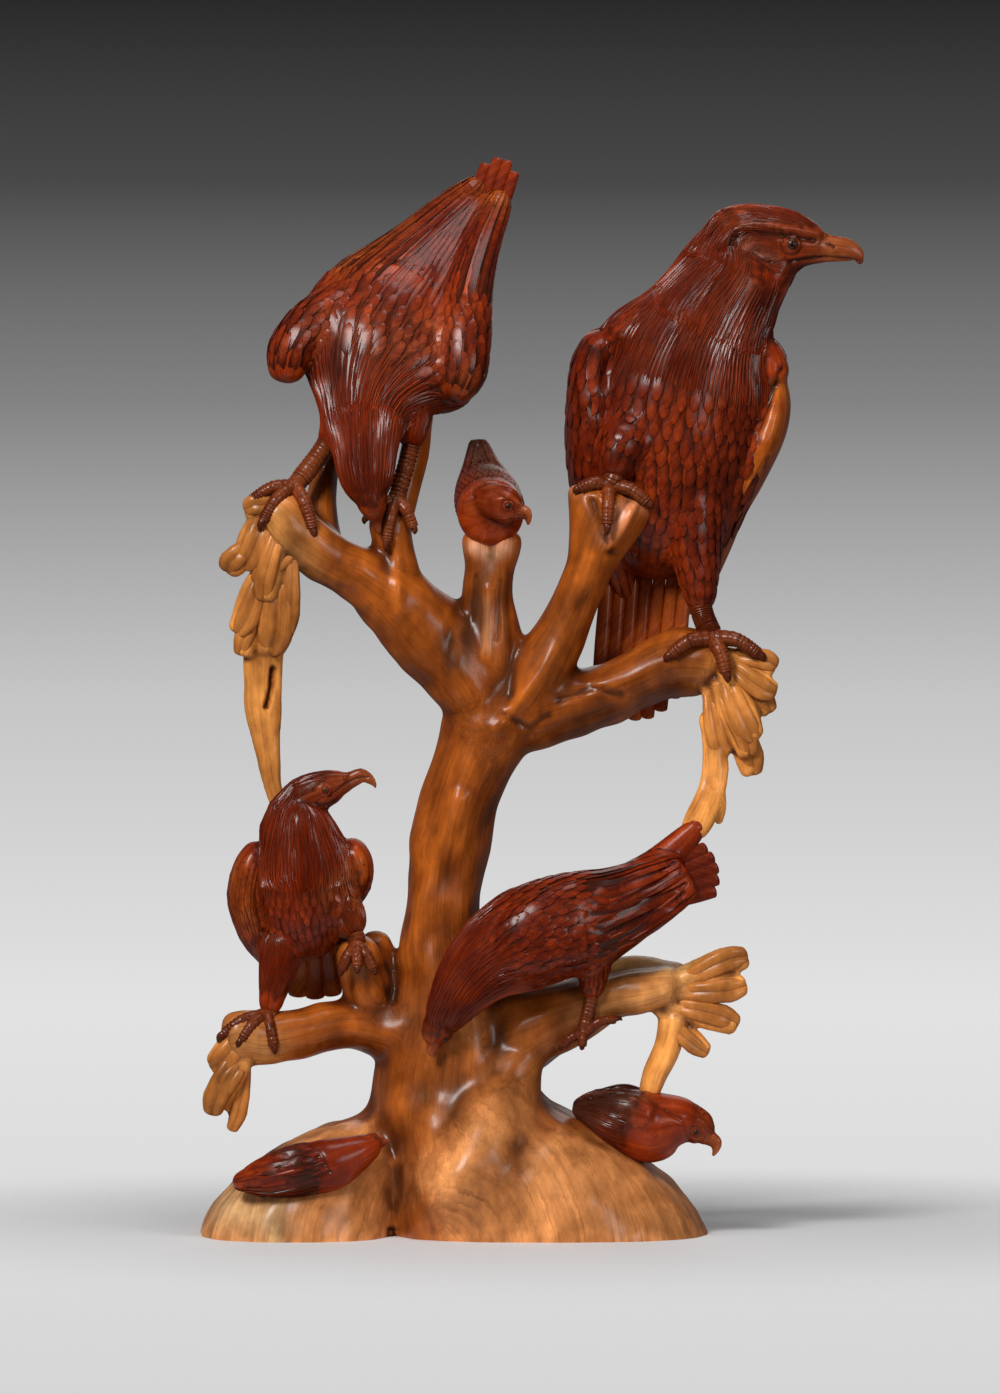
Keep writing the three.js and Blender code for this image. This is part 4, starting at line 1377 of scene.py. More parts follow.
# Trunk, foot, boughs and limbs
BOUGHS = [
    Limb(name="trunk", rows=[
        [-4, 1, 3, 12, 12], [-5.8, 0.8, 9, 10, 10], [-7.6, 0.5, 13, 9, 8.6], [-7.9, 0.2, 16.6, 8.1, 7.6],
        [-7.5, 0, 20.6, 7.5, 7], [-8.2, 0, 25.4, 5.6, 5.6], [-8.9, 0, 31.6, 3.9, 4.4],
        [-8.6, 0, 36.5, 3.6, 4.1], [-8.1, 0, 40.3, 4.1, 4.3], [-7.1, 0, 44.5, 3.8, 4],
        [-5.7, 0, 48, 3.9, 4.2], [-4.4, 0, 51.6, 4.5, 4.4], [-4.3, 0, 55.6, 3.6, 4],
    ]),
    Limb(name="right_lobe", boxy=2.7, cap=1.2, level=True, rows=[
        [1.9, 0.5, -2, 15.8, 13.6], [1.9, 0.5, 1, 15.8, 13.6], [1.4, 0.5, 3, 15.3, 13.5],
        [0.2, 0.5, 6, 14.2, 13], [-1.4, 0.5, 8.6, 12.6, 12.2], [-3.4, 0.4, 11, 10.9, 11],
        [-5.6, 0.3, 13, 9.8, 9.4], [-7.2, 0.2, 14.8, 8, 7.8], [-7.5, 0, 17, 6.8, 6.8],
    ]),
    Limb(name="left_lobe", boxy=2.7, cap=1.2, level=True, rows=[
        [-23.3, 0.5, -2, 9.7, 13.4], [-23.3, 0.5, 1.6, 9.7, 13.4], [-22.9, 0.5, 3.8, 9, 13],
        [-21.6, 0.6, 6.2, 8.2, 12], [-20, 0.8, 8.6, 6.9, 10.4], [-18.4, 1, 10.6, 5, 8],
        [-16.8, 1, 12.4, 2.6, 5],
    ]),
    Limb(name="foot_ridge", rows=[
        [-1.8, -3.4, 20, 2.8, 2.6], [-2.2, -5.8, 15.5, 3.4, 2.6], [-3.8, -8.4, 11, 4.6, 3],
        [-6, -10, 6.5, 5.4, 2.6], [-8, -10.6, 3, 4.6, 2],
    ]),
    Limb(name="upper_left_bough", rows=[
        [-3.4, 0, 51, 3.6, 4.2], [-6.6, 0, 57, 4.2, 4.3], [-10.2, -0.8, 60.9, 4.2, 4],
        [-13.8, -1.8, 64.4, 3.6, 3.6], [-17, -2.8, 66.7, 2.8, 3], [-20, -3.6, 68.2, 2.5, 2.9],
        [-22.8, -4.2, 70.2, 2.7, 3], [-24.8, -4.6, 72.4, 2.8, 3], [-26.6, -4.9, 74.2, 2, 2.4],
    ]),
    Limb(name="outer_prong", rows=[
        [-20.9, -1.6, 69, 2.3, 2.4], [-21, 0, 74, 1.5, 2.1], [-20.1, 1.6, 80, 1.2, 1.8],
        [-18.6, 2.4, 85.5, 1.2, 1.5],
    ]),
    Limb(name="stub", rows=[
        [-11.6, -1, 62.5, 2.9, 2.8], [-13.2, -1.8, 67.5, 2, 2.3], [-13.9, -2.4, 71, 2.1, 2.3],
        [-14.4, -2.6, 73.6, 1.9, 1.9],
    ]),
    Limb(name="inner_prong", rows=[
        [-13.6, -0.6, 67, 1.8, 2], [-13, 0, 73.2, 1.4, 1.9], [-11.7, 0.4, 78.6, 1.5, 1.6],
        [-10.8, 0.6, 84.4, 1.3, 1.4],
    ]),
    Limb(name="middle_bough", rows=[
        [-4.4, 0, 53, 3.6, 4], [-4.2, -0.4, 60.5, 3.2, 3.3], [-4.3, -1, 65, 2.5, 2.6],
        [-4.1, -1, 67.4, 2.4, 2.6], [-3.9, -1.4, 69.8, 3, 2.9], [-3.9, -1.4, 71.6, 3.3, 3],
    ]),
    Limb(name="inner_bough", rows=[
        [-3, 0, 51.4, 3.6, 4], [1, -0.6, 57.4, 3.2, 3.4], [3.6, -1.2, 62.3, 2.5, 2.8],
        [5.5, -2, 66.8, 2.3, 2.6], [6.6, -2.8, 70, 3, 2.9], [7.6, -3.4, 72.9, 4, 3],
        [8.3, -3.6, 75.3, 4.6, 2.6],
    ]),
    Limb(name="right_bough", rows=[
        [-3.6, 0, 50.6, 3.2, 4.2], [2.2, 0.5, 53.4, 3.5, 4], [6.6, 0.5, 54.6, 3.3, 3.6],
        [10.6, 0.2, 56.4, 3.1, 3.4], [14.2, -0.6, 58, 3.4, 3.4], [17.2, -1.6, 57.9, 3.3, 3.2],
        [19.4, -2.2, 57, 2.4, 2.6],
    ]),
    Limb(name="lower_left_limb", rows=[
        [-8, 0, 20, 5, 5.6], [-14.6, -0.8, 21.6, 3.2, 3.8], [-18.6, -1.8, 22, 2.4, 2.9],
        [-22.2, -2.8, 21.3, 2.5, 2.8], [-25.8, -3.8, 20.7, 2.6, 2.8], [-28.8, -4.8, 20.8, 2.6, 2.6],
        [-30.6, -5.2, 20.4, 2.1, 2.2],
    ]),
    Limb(name="knob", rows=[
        [-15, -1, 23, 3.2, 3.6], [-16.8, -2.2, 27, 2.3, 2.7], [-17.2, -3, 29.4, 2.1, 2.4],
        [-17.2, -3.2, 31, 1.5, 1.7],
    ]),
    Limb(name="hump", rows=[
        [-14.8, 0.2, 25.5, 2.6, 2.6], [-15.4, 0.8, 29, 1.9, 2.1], [-15.9, 0.8, 31.2, 1.3, 1.5],
    ]),
    Limb(name="lower_right_limb", rows=[
        [-5, -0.5, 19.5, 6, 6.4], [0.4, -2.4, 21.8, 4, 4.6], [4.4, -3.6, 23.4, 3.1, 3.4],
        [8, -4.4, 24.8, 2.2, 2.8], [11.6, -4.8, 25.5, 2.1, 2.6], [14.8, -5, 26.1, 2.1, 2.2],
    ]),
    Limb(name="limb_back", rows=[
        [4, -1.8, 25, 2.2, 2.4], [8.4, -1.6, 26.8, 1.7, 2.4], [12.4, -2.4, 27.1, 1.5, 2.2],
        [15.6, -3.6, 26.6, 1.2, 1.6],
    ]),
]
# Pale strips of sapwood, each left as a tie between a spray of leaves and the bird below it
TIES = [
    [
        [-26.4, -3.6, 63, 2, 1.3], [-26.8, -3, 56.6, 2, 1], [-26.7, -2.6, 52.5, 1.8, 0.9],
        [-26.2, -2.4, 48.6, 1.1, 0.9], [-25.7, -2.4, 45.6, 0.9, 0.9], [-24.6, -2.8, 42.5, 1, 0.9],
    ],
    [
        [17.8, -2.8, 53.5, 1.5, 1.3], [18.3, -3, 49.4, 1.3, 1], [18, -3.6, 45.8, 1.5, 0.9],
        [17, -4.6, 43, 1.6, 0.9], [15.8, -5.4, 40.8, 1.2, 1],
    ],
    [[18.3, -3.6, 45.8, 1, 0.7], [18.7, -3.8, 43.4, 0.8, 0.6], [18.7, -3.8, 41.8, 0.4, 0.3]],
    [
        [14.4, -5, 23.8, 1.7, 1.6], [13.5, -4.8, 20, 1.35, 1.3], [12.3, -4.6, 17, 1.3, 1.3],
        [11.5, -4.4, 14, 1.4, 1.3],
    ],
]
# Sprays of leaf lobes: each lobe is its root's place, its tip's place and its half width
LOBES = [
    [[-24, -5.2, 73.6], [-28.4, -5.8, 72.8], 1.1],
    [[-23.4, -5.2, 72.4], [-28.2, -5.8, 69.6], 1.2],
    [[-22.4, -5, 70.4], [-27, -5.6, 65.4], 1.2],
    [[-26, -5.5, 73.6], [-29, -5.4, 67.6], 1.5],
    [[-24.6, -6, 73], [-26.2, -6, 64], 1.1],
    [[-26.2, -5.2, 68], [-29.6, -4.8, 61], 1.2],
    [[-25.6, -4.6, 67], [-28.6, -4.2, 58.6], 1],
    [[-23.6, -5.6, 71], [-24.8, -5, 60.4], 0.9],
    [[-27, -5.4, 70.4], [-30, -5.4, 66.8], 1.2],
    [[-25, -4.8, 69], [-26.4, -4, 58.8], 1.8],
    [[18.6, -3, 58.6], [24.5, -4.4, 55.2], 1.2],
    [[19.4, -2.6, 58], [23.6, -3.6, 52.8], 1],
    [[18.8, -3.6, 57.6], [22.7, -4.4, 50.4], 1.3],
    [[18.2, -3.6, 56.6], [21.4, -4, 48.6], 1.2],
    [[17.4, -3.2, 56], [19.6, -3.2, 48.8], 1.1],
    [[19.6, -2.6, 55], [21.8, -2.8, 46.7], 1.2],
    [[-28.6, -5.6, 20.6], [-31.3, -5.8, 13], 1.3],
    [[-28, -5.2, 22], [-32, -5.6, 18], 1.4],
    [[-28.2, -5.8, 19], [-30.4, -6, 14.6], 1.1],
    [[-28, -5, 20], [-30.2, -4.8, 11.6], 0.85],
    [[13.4, -4.8, 26], [19.6, -5, 29.4], 0.9],
    [[14, -5.2, 26], [21.6, -5.8, 28.6], 1.25],
    [[13.6, -5.4, 25.2], [21.3, -6.2, 26.4], 1.2],
    [[13, -5.2, 24.4], [20.4, -5.8, 21.7], 1.2],
    [[12, -5, 24], [17.8, -5.4, 19.5], 0.9],
    [[19, -3, 59], [24.3, -4, 57.2], 1.1],
]
TREE_MARKS = [
    Mark(((391, 1165), (393, 1190), (390, 1222)), 9, -5),
    Mark(((391, 1230), (392, 1243)), 5, 6),
    Mark(((522, 1085), (519, 1110), (514, 1138)), 22, 8),
    Mark(((530, 1064), (508, 1090), (499, 1126), (485, 1148), (458, 1176), (431, 1203)), 24, -7),
    Mark(((245, 1200), (250, 1225)), 12, 1.5),
    Mark(((560, 1130), (640, 1190)), 26, 3),
    Mark(((395, 540), (396, 575), (398, 612)), 6, -4),
    Mark(((490, 536), (490, 556)), 12, 7),
    Mark(((466, 560), (458, 600), (450, 640), (448, 673)), 6, 2.5),
    Mark(((514, 575), (512, 610), (513, 650), (509, 694)), 6, 3),
    Mark(((496, 728), (520, 700), (542, 673), (560, 640), (572, 600), (590, 560)), 8, -5),
    Mark(((459, 799), (440, 850), (428, 890), (407, 958)), 9, -5),
    Mark(((383, 967), (388, 980), (392, 999)), 5, 5),
    Mark(((273, 669), (271, 688), (266, 707)), 2.5, 9),
    Mark(((349, 953), (357, 949), (365, 955), (366, 964)), 2.5, 2),
    Mark(((476, 575), (470, 620)), 2.2, 1.2),
    Mark(((500, 580), (497, 640)), 2.2, 1.2),
    Mark(((600, 690), (640, 676), (668, 660)), 10, -3),
    Mark(((488, 590), (487, 655)), 5, -2.5),
    Mark(((592, 500), (604, 530), (612, 552)), 5, 4),
    Mark(((634, 506), (622, 528), (610, 548)), 4, -4),
    Mark(((628, 500), (616, 520), (606, 538)), 5, 3.5),
    Mark(((560, 700), (590, 688), (620, 694)), 4, 3),
    Mark(((505, 715), (530, 728), (548, 716)), 4, 2.5),
]
TREE_STAINS_AND_PAINTED_LIGHT = [
    StainAndPaintedLight(((470, 705), (500, 720), (520, 690)), 28, (0.32, 0.075, 0.008), 0.5),
    StainAndPaintedLight(((440, 1100), (480, 1080), (540, 1050)), 34, (0.34, 0.11, 0.026), 0.6),
    StainAndPaintedLight(((600, 1150), (650, 1200)), 44, (0.26, 0.09, 0.026), 0.5),
    # Painted shade down the trunk's right side, away from the key light
    StainAndPaintedLight(((505, 755), (484, 880), (478, 960)), 20, (0.13, 0.03, 0.007), 0.6),
    # Painted shade on the underside of the right bough
    StainAndPaintedLight(((560, 735), (640, 700)), 16, (0.15, 0.04, 0.009), 0.5),
    StainAndPaintedLight(((600, 1012), (640, 1000), (690, 995)), 30, (0.6, 0.28, 0.09), 0.65),
    StainAndPaintedLight(((240, 1035), (262, 1050), (262, 1075)), 24, (0.6, 0.28, 0.09), 0.6),
    StainAndPaintedLight(((262, 505), (285, 545), (290, 575)), 30, (0.6, 0.28, 0.08), 0.65),
    StainAndPaintedLight(((612, 962), (650, 960), (685, 966)), 12, (0.68, 0.38, 0.14), 0.9),
    StainAndPaintedLight(((448, 640), (452, 665)), 10, (0.05, 0.022, 0.012), 0.6),
    StainAndPaintedLight(((470, 650), (462, 660)), 8, (0.06, 0.025, 0.012), 0.6),
    StainAndPaintedLight(((480, 600), (487, 640)), 7, (0.09, 0.05, 0.03), 0.5),
    StainAndPaintedLight(((225, 1205), (262, 1215)), 26, (0.58, 0.36, 0.17), 0.8),
    StainAndPaintedLight(((275, 1210), (275, 1240)), 7, (0.66, 0.45, 0.22), 0.7),
    StainAndPaintedLight(((474, 547), (490, 556), (506, 547)), 8, (0.52, 0.27, 0.16), 0.75),
    # Painted shade down both sides of the bough under the falcon
    StainAndPaintedLight(((484, 572), (476, 600), (470, 640)), 8, (0.07, 0.022, 0.008), 0.7),
    StainAndPaintedLight(((500, 575), (504, 620), (506, 680)), 7, (0.10, 0.03, 0.008), 0.55),
    StainAndPaintedLight(((574, 488), (580, 484)), 9, (0.45, 0.17, 0.08), 0.7),
    StainAndPaintedLight(((632, 496), (650, 508)), 8, (0.45, 0.17, 0.08), 0.7),
    StainAndPaintedLight(((604, 536), (618, 522), (624, 508)), 8, (0.5, 0.2, 0.11), 0.75),
    StainAndPaintedLight(((592, 505), (596, 540)), 9, (0.11, 0.03, 0.006), 0.5),
    StainAndPaintedLight(((462, 622), (466, 645)), 7, (0.045, 0.02, 0.012), 0.5),
    # Painted highlight down the middle of the bough under the falcon
    StainAndPaintedLight(((488, 600), (488, 650)), 5, (0.34, 0.14, 0.06), 0.6),
    StainAndPaintedLight(((560, 690), (545, 650), (575, 600)), 12, (0.11, 0.03, 0.006), 0.45),
    StainAndPaintedLight(((650, 660), (672, 690)), 12, (0.10, 0.028, 0.006), 0.5),
    StainAndPaintedLight(((356, 958), (358, 964)), 12, (0.5, 0.22, 0.07), 0.6),
    StainAndPaintedLight(((684, 655), (690, 680)), 14, (0.14, 0.045, 0.012), 0.5),
    StainAndPaintedLight(((660, 1225), (690, 1238)), 14, (0.16, 0.07, 0.025), 0.45),
]
# The birds. A head has its middle, its half height and the way it faces; a leg has its thigh, its ankle and its
# toes' tips. Marks, stains and patches of painted shade and highlight are counted in fine lines.
BIRDS = [
    Bird(
        name="stooping_eagle",
        voxel=2.6,
        budget=40_000,
        body=[
            [-15.8, -6, 73.6, 1.5, 1.7], [-16.3, -5.6, 76.3, 2.7, 2.6], [-16.5, -4.8, 79.6, 3.3, 3.2],
            [-16.6, -3.3, 83, 4.5, 3.9], [-15.9, -1.7, 86, 7.2, 4.8], [-14.5, 0, 89, 9.6, 5.4],
            [-12.3, 1.9, 93, 8.9, 5], [-9.7, 3.7, 97.2, 6.4, 3.8], [-7.2, 5.6, 101.4, 4.2, 2.6],
            [-4.8, 7.2, 105.4, 2.5, 1.7],
        ],
        wings=[
            [
                [-24.3, -3.4, 85.8, 1.7, 1.7], [-24.1, -3.2, 88.7, 2.15, 2.3], [-21.8, -2, 92, 2.3, 2.7],
                [-18, -0.2, 94.3, 2.4, 2.6], [-14, 2.2, 98.3, 2.4, 2.1], [-9.8, 4.6, 102.3, 1.9, 1.5],
                [-6.6, 6.7, 105, 1.7, 1.1], [-5, 7.6, 106.8, 1, 0.7],
            ],
            [
                [-7.9, -3.4, 84, 1.7, 1.8], [-6.9, -3, 87, 2.4, 2.5], [-6.7, -1.6, 90.8, 2.7, 2.9],
                [-6.3, 0.4, 95, 2.4, 2.6], [-5.3, 3, 99.6, 2, 1.9], [-3.7, 6, 103.6, 1.6, 1.2],
                [-2.8, 7.2, 105.6, 1, 0.8],
            ],
        ],
        tail=Tail(
            root=[-5.4, 6, 101.4], tip=[-2.7, 8.8, 109.2], widths=[4.4, 4],
            thick=0.55, facing=[0, -0.9, 0.4], feathers=4,
        ),
        head=Head(
            at=[-15.9, -6, 74.2], size=1.8, facing=[0.26, 0.05, -1],
            up=[0, -1, -0.1], reach=0.9,
        ),
        legs=[
            Leg(
                thigh=[
                    [-18.4, -1.4, 86, 2.4, 2.8], [-19.7, -2.4, 81.6, 1.3, 1.7], [-20.5, -2.9, 79.6, 0.9, 1.2],
                ],
                ankle=[-23.4, -4.8, 75.6], thick=0.9,
                toes=[[-28.4, -5.6, 73.2], [-26.9, -6.8, 71], [-21.5, -6.2, 70.2]],
            ),
            Leg(
                thigh=[[-11.4, -1, 87, 2.6, 2.6], [-11.7, -2, 81.6, 1.5, 1.7], [-12, -2.4, 79.4, 1, 1.2]],
                ankle=[-13.4, -3.6, 74.4], thick=0.8,
                toes=[[-11.6, -3.8, 70.8], [-14.4, -4.6, 69], [-16.6, -3.6, 71.8]],
            ),
        ],
        plumage=[
            Zone("hood", Feather.HACKLE, 0.24, 0.9, 0.8),
            Zone("body", Feather.HACKLE, 0.1, 0.46),
            Zone("body", Feather.SCALE, 0.42, 0.60, 1.2),
            Zone("body", Feather.VANE, 0.55, 1.0),
            Zone("wing", Feather.SCALE, 0.04, 0.36, 1.1),
            Zone("wing", Feather.QUILL, 0.32, 1.0, quills=14),
            Zone("thigh", Feather.HACKLE, 0.1, 0.8, 0.8),
        ],
        marks=[
            Mark(((382, 260), (404, 263), (424, 274), (443, 294), (460, 305), (471, 319)), 2.2, 2),
        ],
        stains_and_painted_light=[
            StainAndPaintedLight(((484, 163), (500, 185)), 22, ORANGE_WOOD, 0.9),
            StainAndPaintedLight(((345, 262), (395, 215), (450, 178)), 16, (0.3, 0.07, 0.01), 0.7),
            # Painted highlight: a pale band across the scales where they catch the light
            StainAndPaintedLight(((330, 330), (380, 345), (430, 345)), 26, (0.3, 0.075, 0.03), 0.45),
            StainAndPaintedLight(((455, 400), (468, 380)), 14, (0.28, 0.065, 0.015), 0.6),
        ],
    ),
    Bird(
        name="great_eagle",
        voxel=2.2,
        budget=46_000,
        body=[
            [22.6, -0.6, 99.6, 3.2, 3], [21, -0.4, 97.2, 4.9, 4.5], [18.6, 0, 93.6, 6, 5.6],
            [16.5, 0.5, 89.6, 7.8, 6.8], [15.3, 1, 85.5, 8.8, 7.4], [14.4, 1.4, 80.4, 8.8, 7.4],
            [13.6, 2, 75.4, 7.6, 6.8], [12.8, 3, 70.8, 5.6, 5.4], [12.2, 4, 66.6, 3.2, 3.4],
        ],
        wings=[
            [
                [7.4, 0, 91.2, 1.6, 2.4], [6.4, 0.6, 88, 2.3, 4.4], [6, 1.4, 84, 2.4, 5.6],
                [6.1, 2.4, 80, 2.5, 5.6], [6.8, 3.6, 75, 2.6, 4.8], [8.4, 5.2, 69, 2.2, 3.6],
                [10.2, 6.4, 63, 1.5, 2],
            ],
            [
                [24.2, 0.2, 86.8, 1.4, 2], [24.2, 0.8, 83.4, 1.8, 3.8], [23.3, 1.6, 80.2, 1.9, 4.8],
                [21.6, 2.6, 76.6, 1.8, 4.8], [19.8, 3.6, 72.8, 1.6, 4.2], [18, 5, 68, 1.4, 3.2],
                [15.6, 6.2, 63, 1.2, 1.6],
            ],
        ],
        mantle=[
            [
                [20.6, -0.6, 100.9, 2.6, 2.4], [18.6, -0.4, 98.4, 3.2, 3.1], [16.3, -0.2, 95, 3.4, 3.6],
                [13.6, 0, 92.6, 3.2, 4], [10.3, 0.2, 90.8, 2.9, 4], [8, 0.6, 88.5, 2.6, 4],
            ],
            [
                [25.7, -0.8, 98.7, 1.5, 1.8], [24.4, -0.8, 96.7, 1.8, 2.3], [22.5, -0.6, 93.6, 2.2, 3],
                [21.4, -0.6, 90, 2.6, 3.4],
            ],
            [[22.6, -0.4, 90.4, 1.2, 2], [23.9, -0.2, 88.4, 1.6, 2.6], [24.2, 0.2, 85.6, 1.8, 3.2]],
        ],
        tail=Tail(
            root=[11.7, 4.2, 67.5], tip=[10.4, 3.6, 52.2], widths=[9.2, 8.8],
            thick=0.6, facing=[0, -1, 0], feathers=7,
        ),
        head=Head(
            at=[22.9, -0.8, 100.4], size=3.2, facing=[1, -0.06, -0.07],
            up=[0.07, 0, 1], reach=1.43, brows=True, jaw=True,
        ),
        legs=[
            Leg(
                thigh=[[10.6, -3, 82, 3.4, 3.6], [8.8, -4.4, 78.4, 2.2, 2.4], [8.2, -5, 76.4, 1.3, 1.5]],
                ankle=[7.8, -4.6, 75.7], thick=0.9,
                toes=[[7.5, -6.4, 70.6], [4.2, -5, 74.8], [12, -5, 73.2]],
            ),
            Leg(
                thigh=[[17, -0.6, 76, 3.4, 4], [16.5, -1.4, 70, 2.6, 2.9], [17, -2.6, 63.2, 1.2, 1.3]],
                ankle=[18, -3.6, 60.6], thick=1,
                toes=[[19.5, -5, 56], [13.3, -4, 58], [23.2, -4.4, 58]],
            ),
        ],
        plumage=[
            Zone("hood", Feather.HACKLE, 0.0, 0.5, 0.62),
            Zone("hood", Feather.HACKLE, 0.4, 1.0),
            Zone("body", Feather.HACKLE, 0.2, 0.5),
            Zone("body", Feather.SCALE, 0.46, 1.0, 1.2),
            Zone("wing0", Feather.SCALE, 0.03, 0.5, 1.3),
            Zone("wing0", Feather.QUILL, 0.42, 1.0, quills=16),
            Zone("thigh", Feather.SCALE, 0.05, 0.95, 1.1),
        ],
        bare=[
            (744, 244, 7), (756, 250, 9), (770, 250, 12), (788, 249, 14), (806, 249, 16), (824, 246, 15),
            (738, 227, 4), (752, 225, 4.5), (766, 225, 5), (780, 227, 5), (794, 229, 5), (808, 232, 5),
        ],
        eyes=[Eye(792, 244, 7)],
        marks=[
            Mark(((791, 262), (808, 259), (826, 257), (845, 259), (859, 262)), 1.8, 2.4),
            Mark(((722, 243), (736, 229), (755, 225), (778, 227), (798, 229), (818, 234)), 4, -3.6),
            Mark(((735, 237), (756, 233), (778, 235), (798, 238), (814, 240)), 2.6, 2),
            Mark(((829, 244), (834, 247)), 2.2, 2),
            Mark(((583, 423), (598, 395), (612, 350), (617, 342)), 3.5, 4),
            Mark(((752, 433), (769, 400), (783, 369)), 3.5, 4),
        ],
        stains_and_painted_light=[
            # Painted shade in the groove under the brow
            StainAndPaintedLight(((735, 238), (756, 233), (778, 235), (814, 240)), 3, (0.05, 0.008, 0.002), 0.6),
            StainAndPaintedLight(((738, 227), (766, 225), (808, 231)), 5, (0.26, 0.05, 0.012), 0.7),
            # Painted highlight on the cheek
            StainAndPaintedLight(((745, 246), (758, 251), (772, 260)), 7, (0.33, 0.12, 0.075), 0.6),
            StainAndPaintedLight(((826, 244), (856, 246)), 9, (0.27, 0.075, 0.02), 0.55),
            StainAndPaintedLight(((630, 690), (640, 660), (652, 615)), 32, (0.42, 0.10, 0.014), 0.8),
            StainAndPaintedLight(((700, 330), (722, 300), (735, 280)), 20, (0.25, 0.045, 0.012), 0.5),
        ],
        colours={"wing1": (0.25, 0.05, 0.005), "tail": (0.36, 0.07, 0.008)},
    ),
    Bird(
        name="falcon",
        voxel=1.1,
        budget=24_000,
        feather_size=0.5,
        facing=[0, 0, 1],
        body=[
            [-3.9, -5.4, 72.6, 2.2, 2.4], [-4, -3.4, 72.9, 3.3, 3.4], [-4.4, 0, 74.6, 3.2, 3.2],
            [-5, 3.4, 77, 2, 1.9], [-5.4, 5, 79.8, 0.9, 0.8],
        ],
        wings=[
            [
                [-6.6, -1.6, 73.2, 0.9, 1.9], [-6.6, 0.8, 75, 1, 2], [-6, 3.2, 77.8, 0.8, 1.5],
                [-5.6, 5, 80.4, 0.5, 0.6],
            ],
            [
                [-1.5, -1.4, 73.6, 0.9, 1.9], [-2.4, 1, 75.6, 1, 2], [-4, 3.2, 78, 0.8, 1.4],
                [-5.1, 4.8, 80.4, 0.5, 0.6],
            ],
        ],
        head=Head(
            at=[-2.9, -5.6, 73.7], size=1.85, facing=[0.86, -0.5, -0.2],
            up=[0, -0.1, 1], reach=0.8, hook=1.3,
        ),
        plumage=[
            Zone("body", Feather.SCALE, 0.35, 1.0),
            Zone("wing", Feather.QUILL, 0.2, 1.0, quills=9),
        ],
        eyes=[Eye(508, 506, 4, through=False)],
        marks=[
            Mark(((474, 497), (486, 489), (500, 486), (514, 492), (524, 503)), 2, 1.2),
            Mark(((494, 500), (508, 498), (522, 504)), 3, -1.4),
        ],
        stains_and_painted_light=[StainAndPaintedLight(((476, 448), (486, 465)), 20, (0.05, 0.028, 0.018), 0.9)],
    ),
    Bird(
        name="calling_eagle",
        voxel=1.6,
        budget=34_000,
        feather_size=0.8,
        body=[
            [-22.8, -4, 45, 2.2, 2.2], [-22.9, -3.9, 42.4, 3.2, 3.2], [-22.7, -3.4, 39.4, 4.4, 4.1],
            [-22.4, -2.8, 35.6, 5, 4.6], [-22.2, -2.4, 32.6, 4.5, 4.2], [-21.9, -1.8, 30.4, 3.2, 3.2],
            [-21.6, -1.2, 29, 1.8, 2],
        ],
        wings=[
            [
                [-26.6, -3, 40, 1.3, 1.6], [-28, -2.6, 37.6, 1.7, 2.6], [-28.5, -2, 34.4, 1.8, 3],
                [-27.6, -1.2, 31.2, 1.6, 2.8], [-25.6, 0.4, 28.4, 1.4, 1.9], [-23.6, 1.6, 26.4, 1, 1],
            ],
            [
                [-18.4, -2.8, 40.4, 1.2, 1.5], [-17.2, -2.4, 38, 1.5, 2.4], [-17.4, -1.6, 35.8, 1.4, 2.3],
                [-18.8, -0.4, 33.6, 1, 1.6],
            ],
        ],
        mantle=[
            [
                [-23.6, -4, 45.2, 1.9, 2], [-24.1, -3.8, 43, 2.2, 2.4], [-24.6, -3.4, 40.8, 2.6, 2.8],
                [-25.8, -3, 38.6, 2.3, 2.6],
            ],
            [[-21.8, -3.9, 43.2, 1.4, 2], [-21.2, -3.5, 41.2, 1.7, 2.4], [-19.4, -3, 39, 1.9, 2.2]],
        ],
        tail=Tail(
            root=[-21.8, -0.4, 31.4], tip=[-21.6, 1.2, 24.3], widths=[6, 8.8],
            thick=0.8, facing=[0, -1, -0.2], feathers=5,
        ),
        head=Head(
            at=[-21.9, -4.2, 44.9], size=1.95, facing=[0.91, -0.16, 0.41],
            up=[-0.36, 0, 0.93], reach=1.46, brows=True, jaw=True, hook=1.7,
        ),
        legs=[
            Leg(
                thigh=[
                    [-24.4, -3.2, 31.6, 2.6, 2.8], [-25.2, -3.8, 27.6, 1.9, 2], [-26.1, -4.7, 23, 0.95, 1.1],
                ],
                ankle=[-26.3, -5, 23], thick=0.8,
                toes=[[-31.1, -6, 20.4], [-29.1, -6.8, 19.8], [-25.4, -6.2, 19.2]],
            ),
            Leg(
                thigh=[[-20.4, -3.6, 35.2, 2.6, 2.8], [-18.4, -4.4, 32.8, 2, 2.1], [-17.4, -5, 30.8, 1.2, 1.3]],
                ankle=[-17.3, -5.4, 30], thick=0.8,
                toes=[[-15.5, -5.6, 27], [-18.9, -5.8, 26.9], [-17.2, -6.6, 27.2]],
            ),
        ],
        plumage=[
            Zone("hood", Feather.HACKLE, 0.08, 0.5, 0.75),
            Zone("hood", Feather.HACKLE, 0.4, 1.0, 1.1),
            Zone("body", Feather.HACKLE, 0.25, 0.5, 1.15),
            Zone("body", Feather.SCALE, 0.46, 1.0),
            Zone("wing", Feather.VANE, 0.05, 1.0, 0.9),
            Zone("thigh", Feather.HACKLE, 0.05, 0.45, 0.8),
        ],
        bare=[(312, 797, 8), (325, 793, 11), (343, 786, 14)],
        eyes=[Eye(325, 790, 5)],
        marks=[
            Mark(((330, 797), (345, 784), (357, 778), (368, 777)), 1.5, 1.6),
            Mark(((296, 786), (312, 779), (330, 775), (345, 776)), 2.6, -1.4),
        ],
        stains_and_painted_light=[
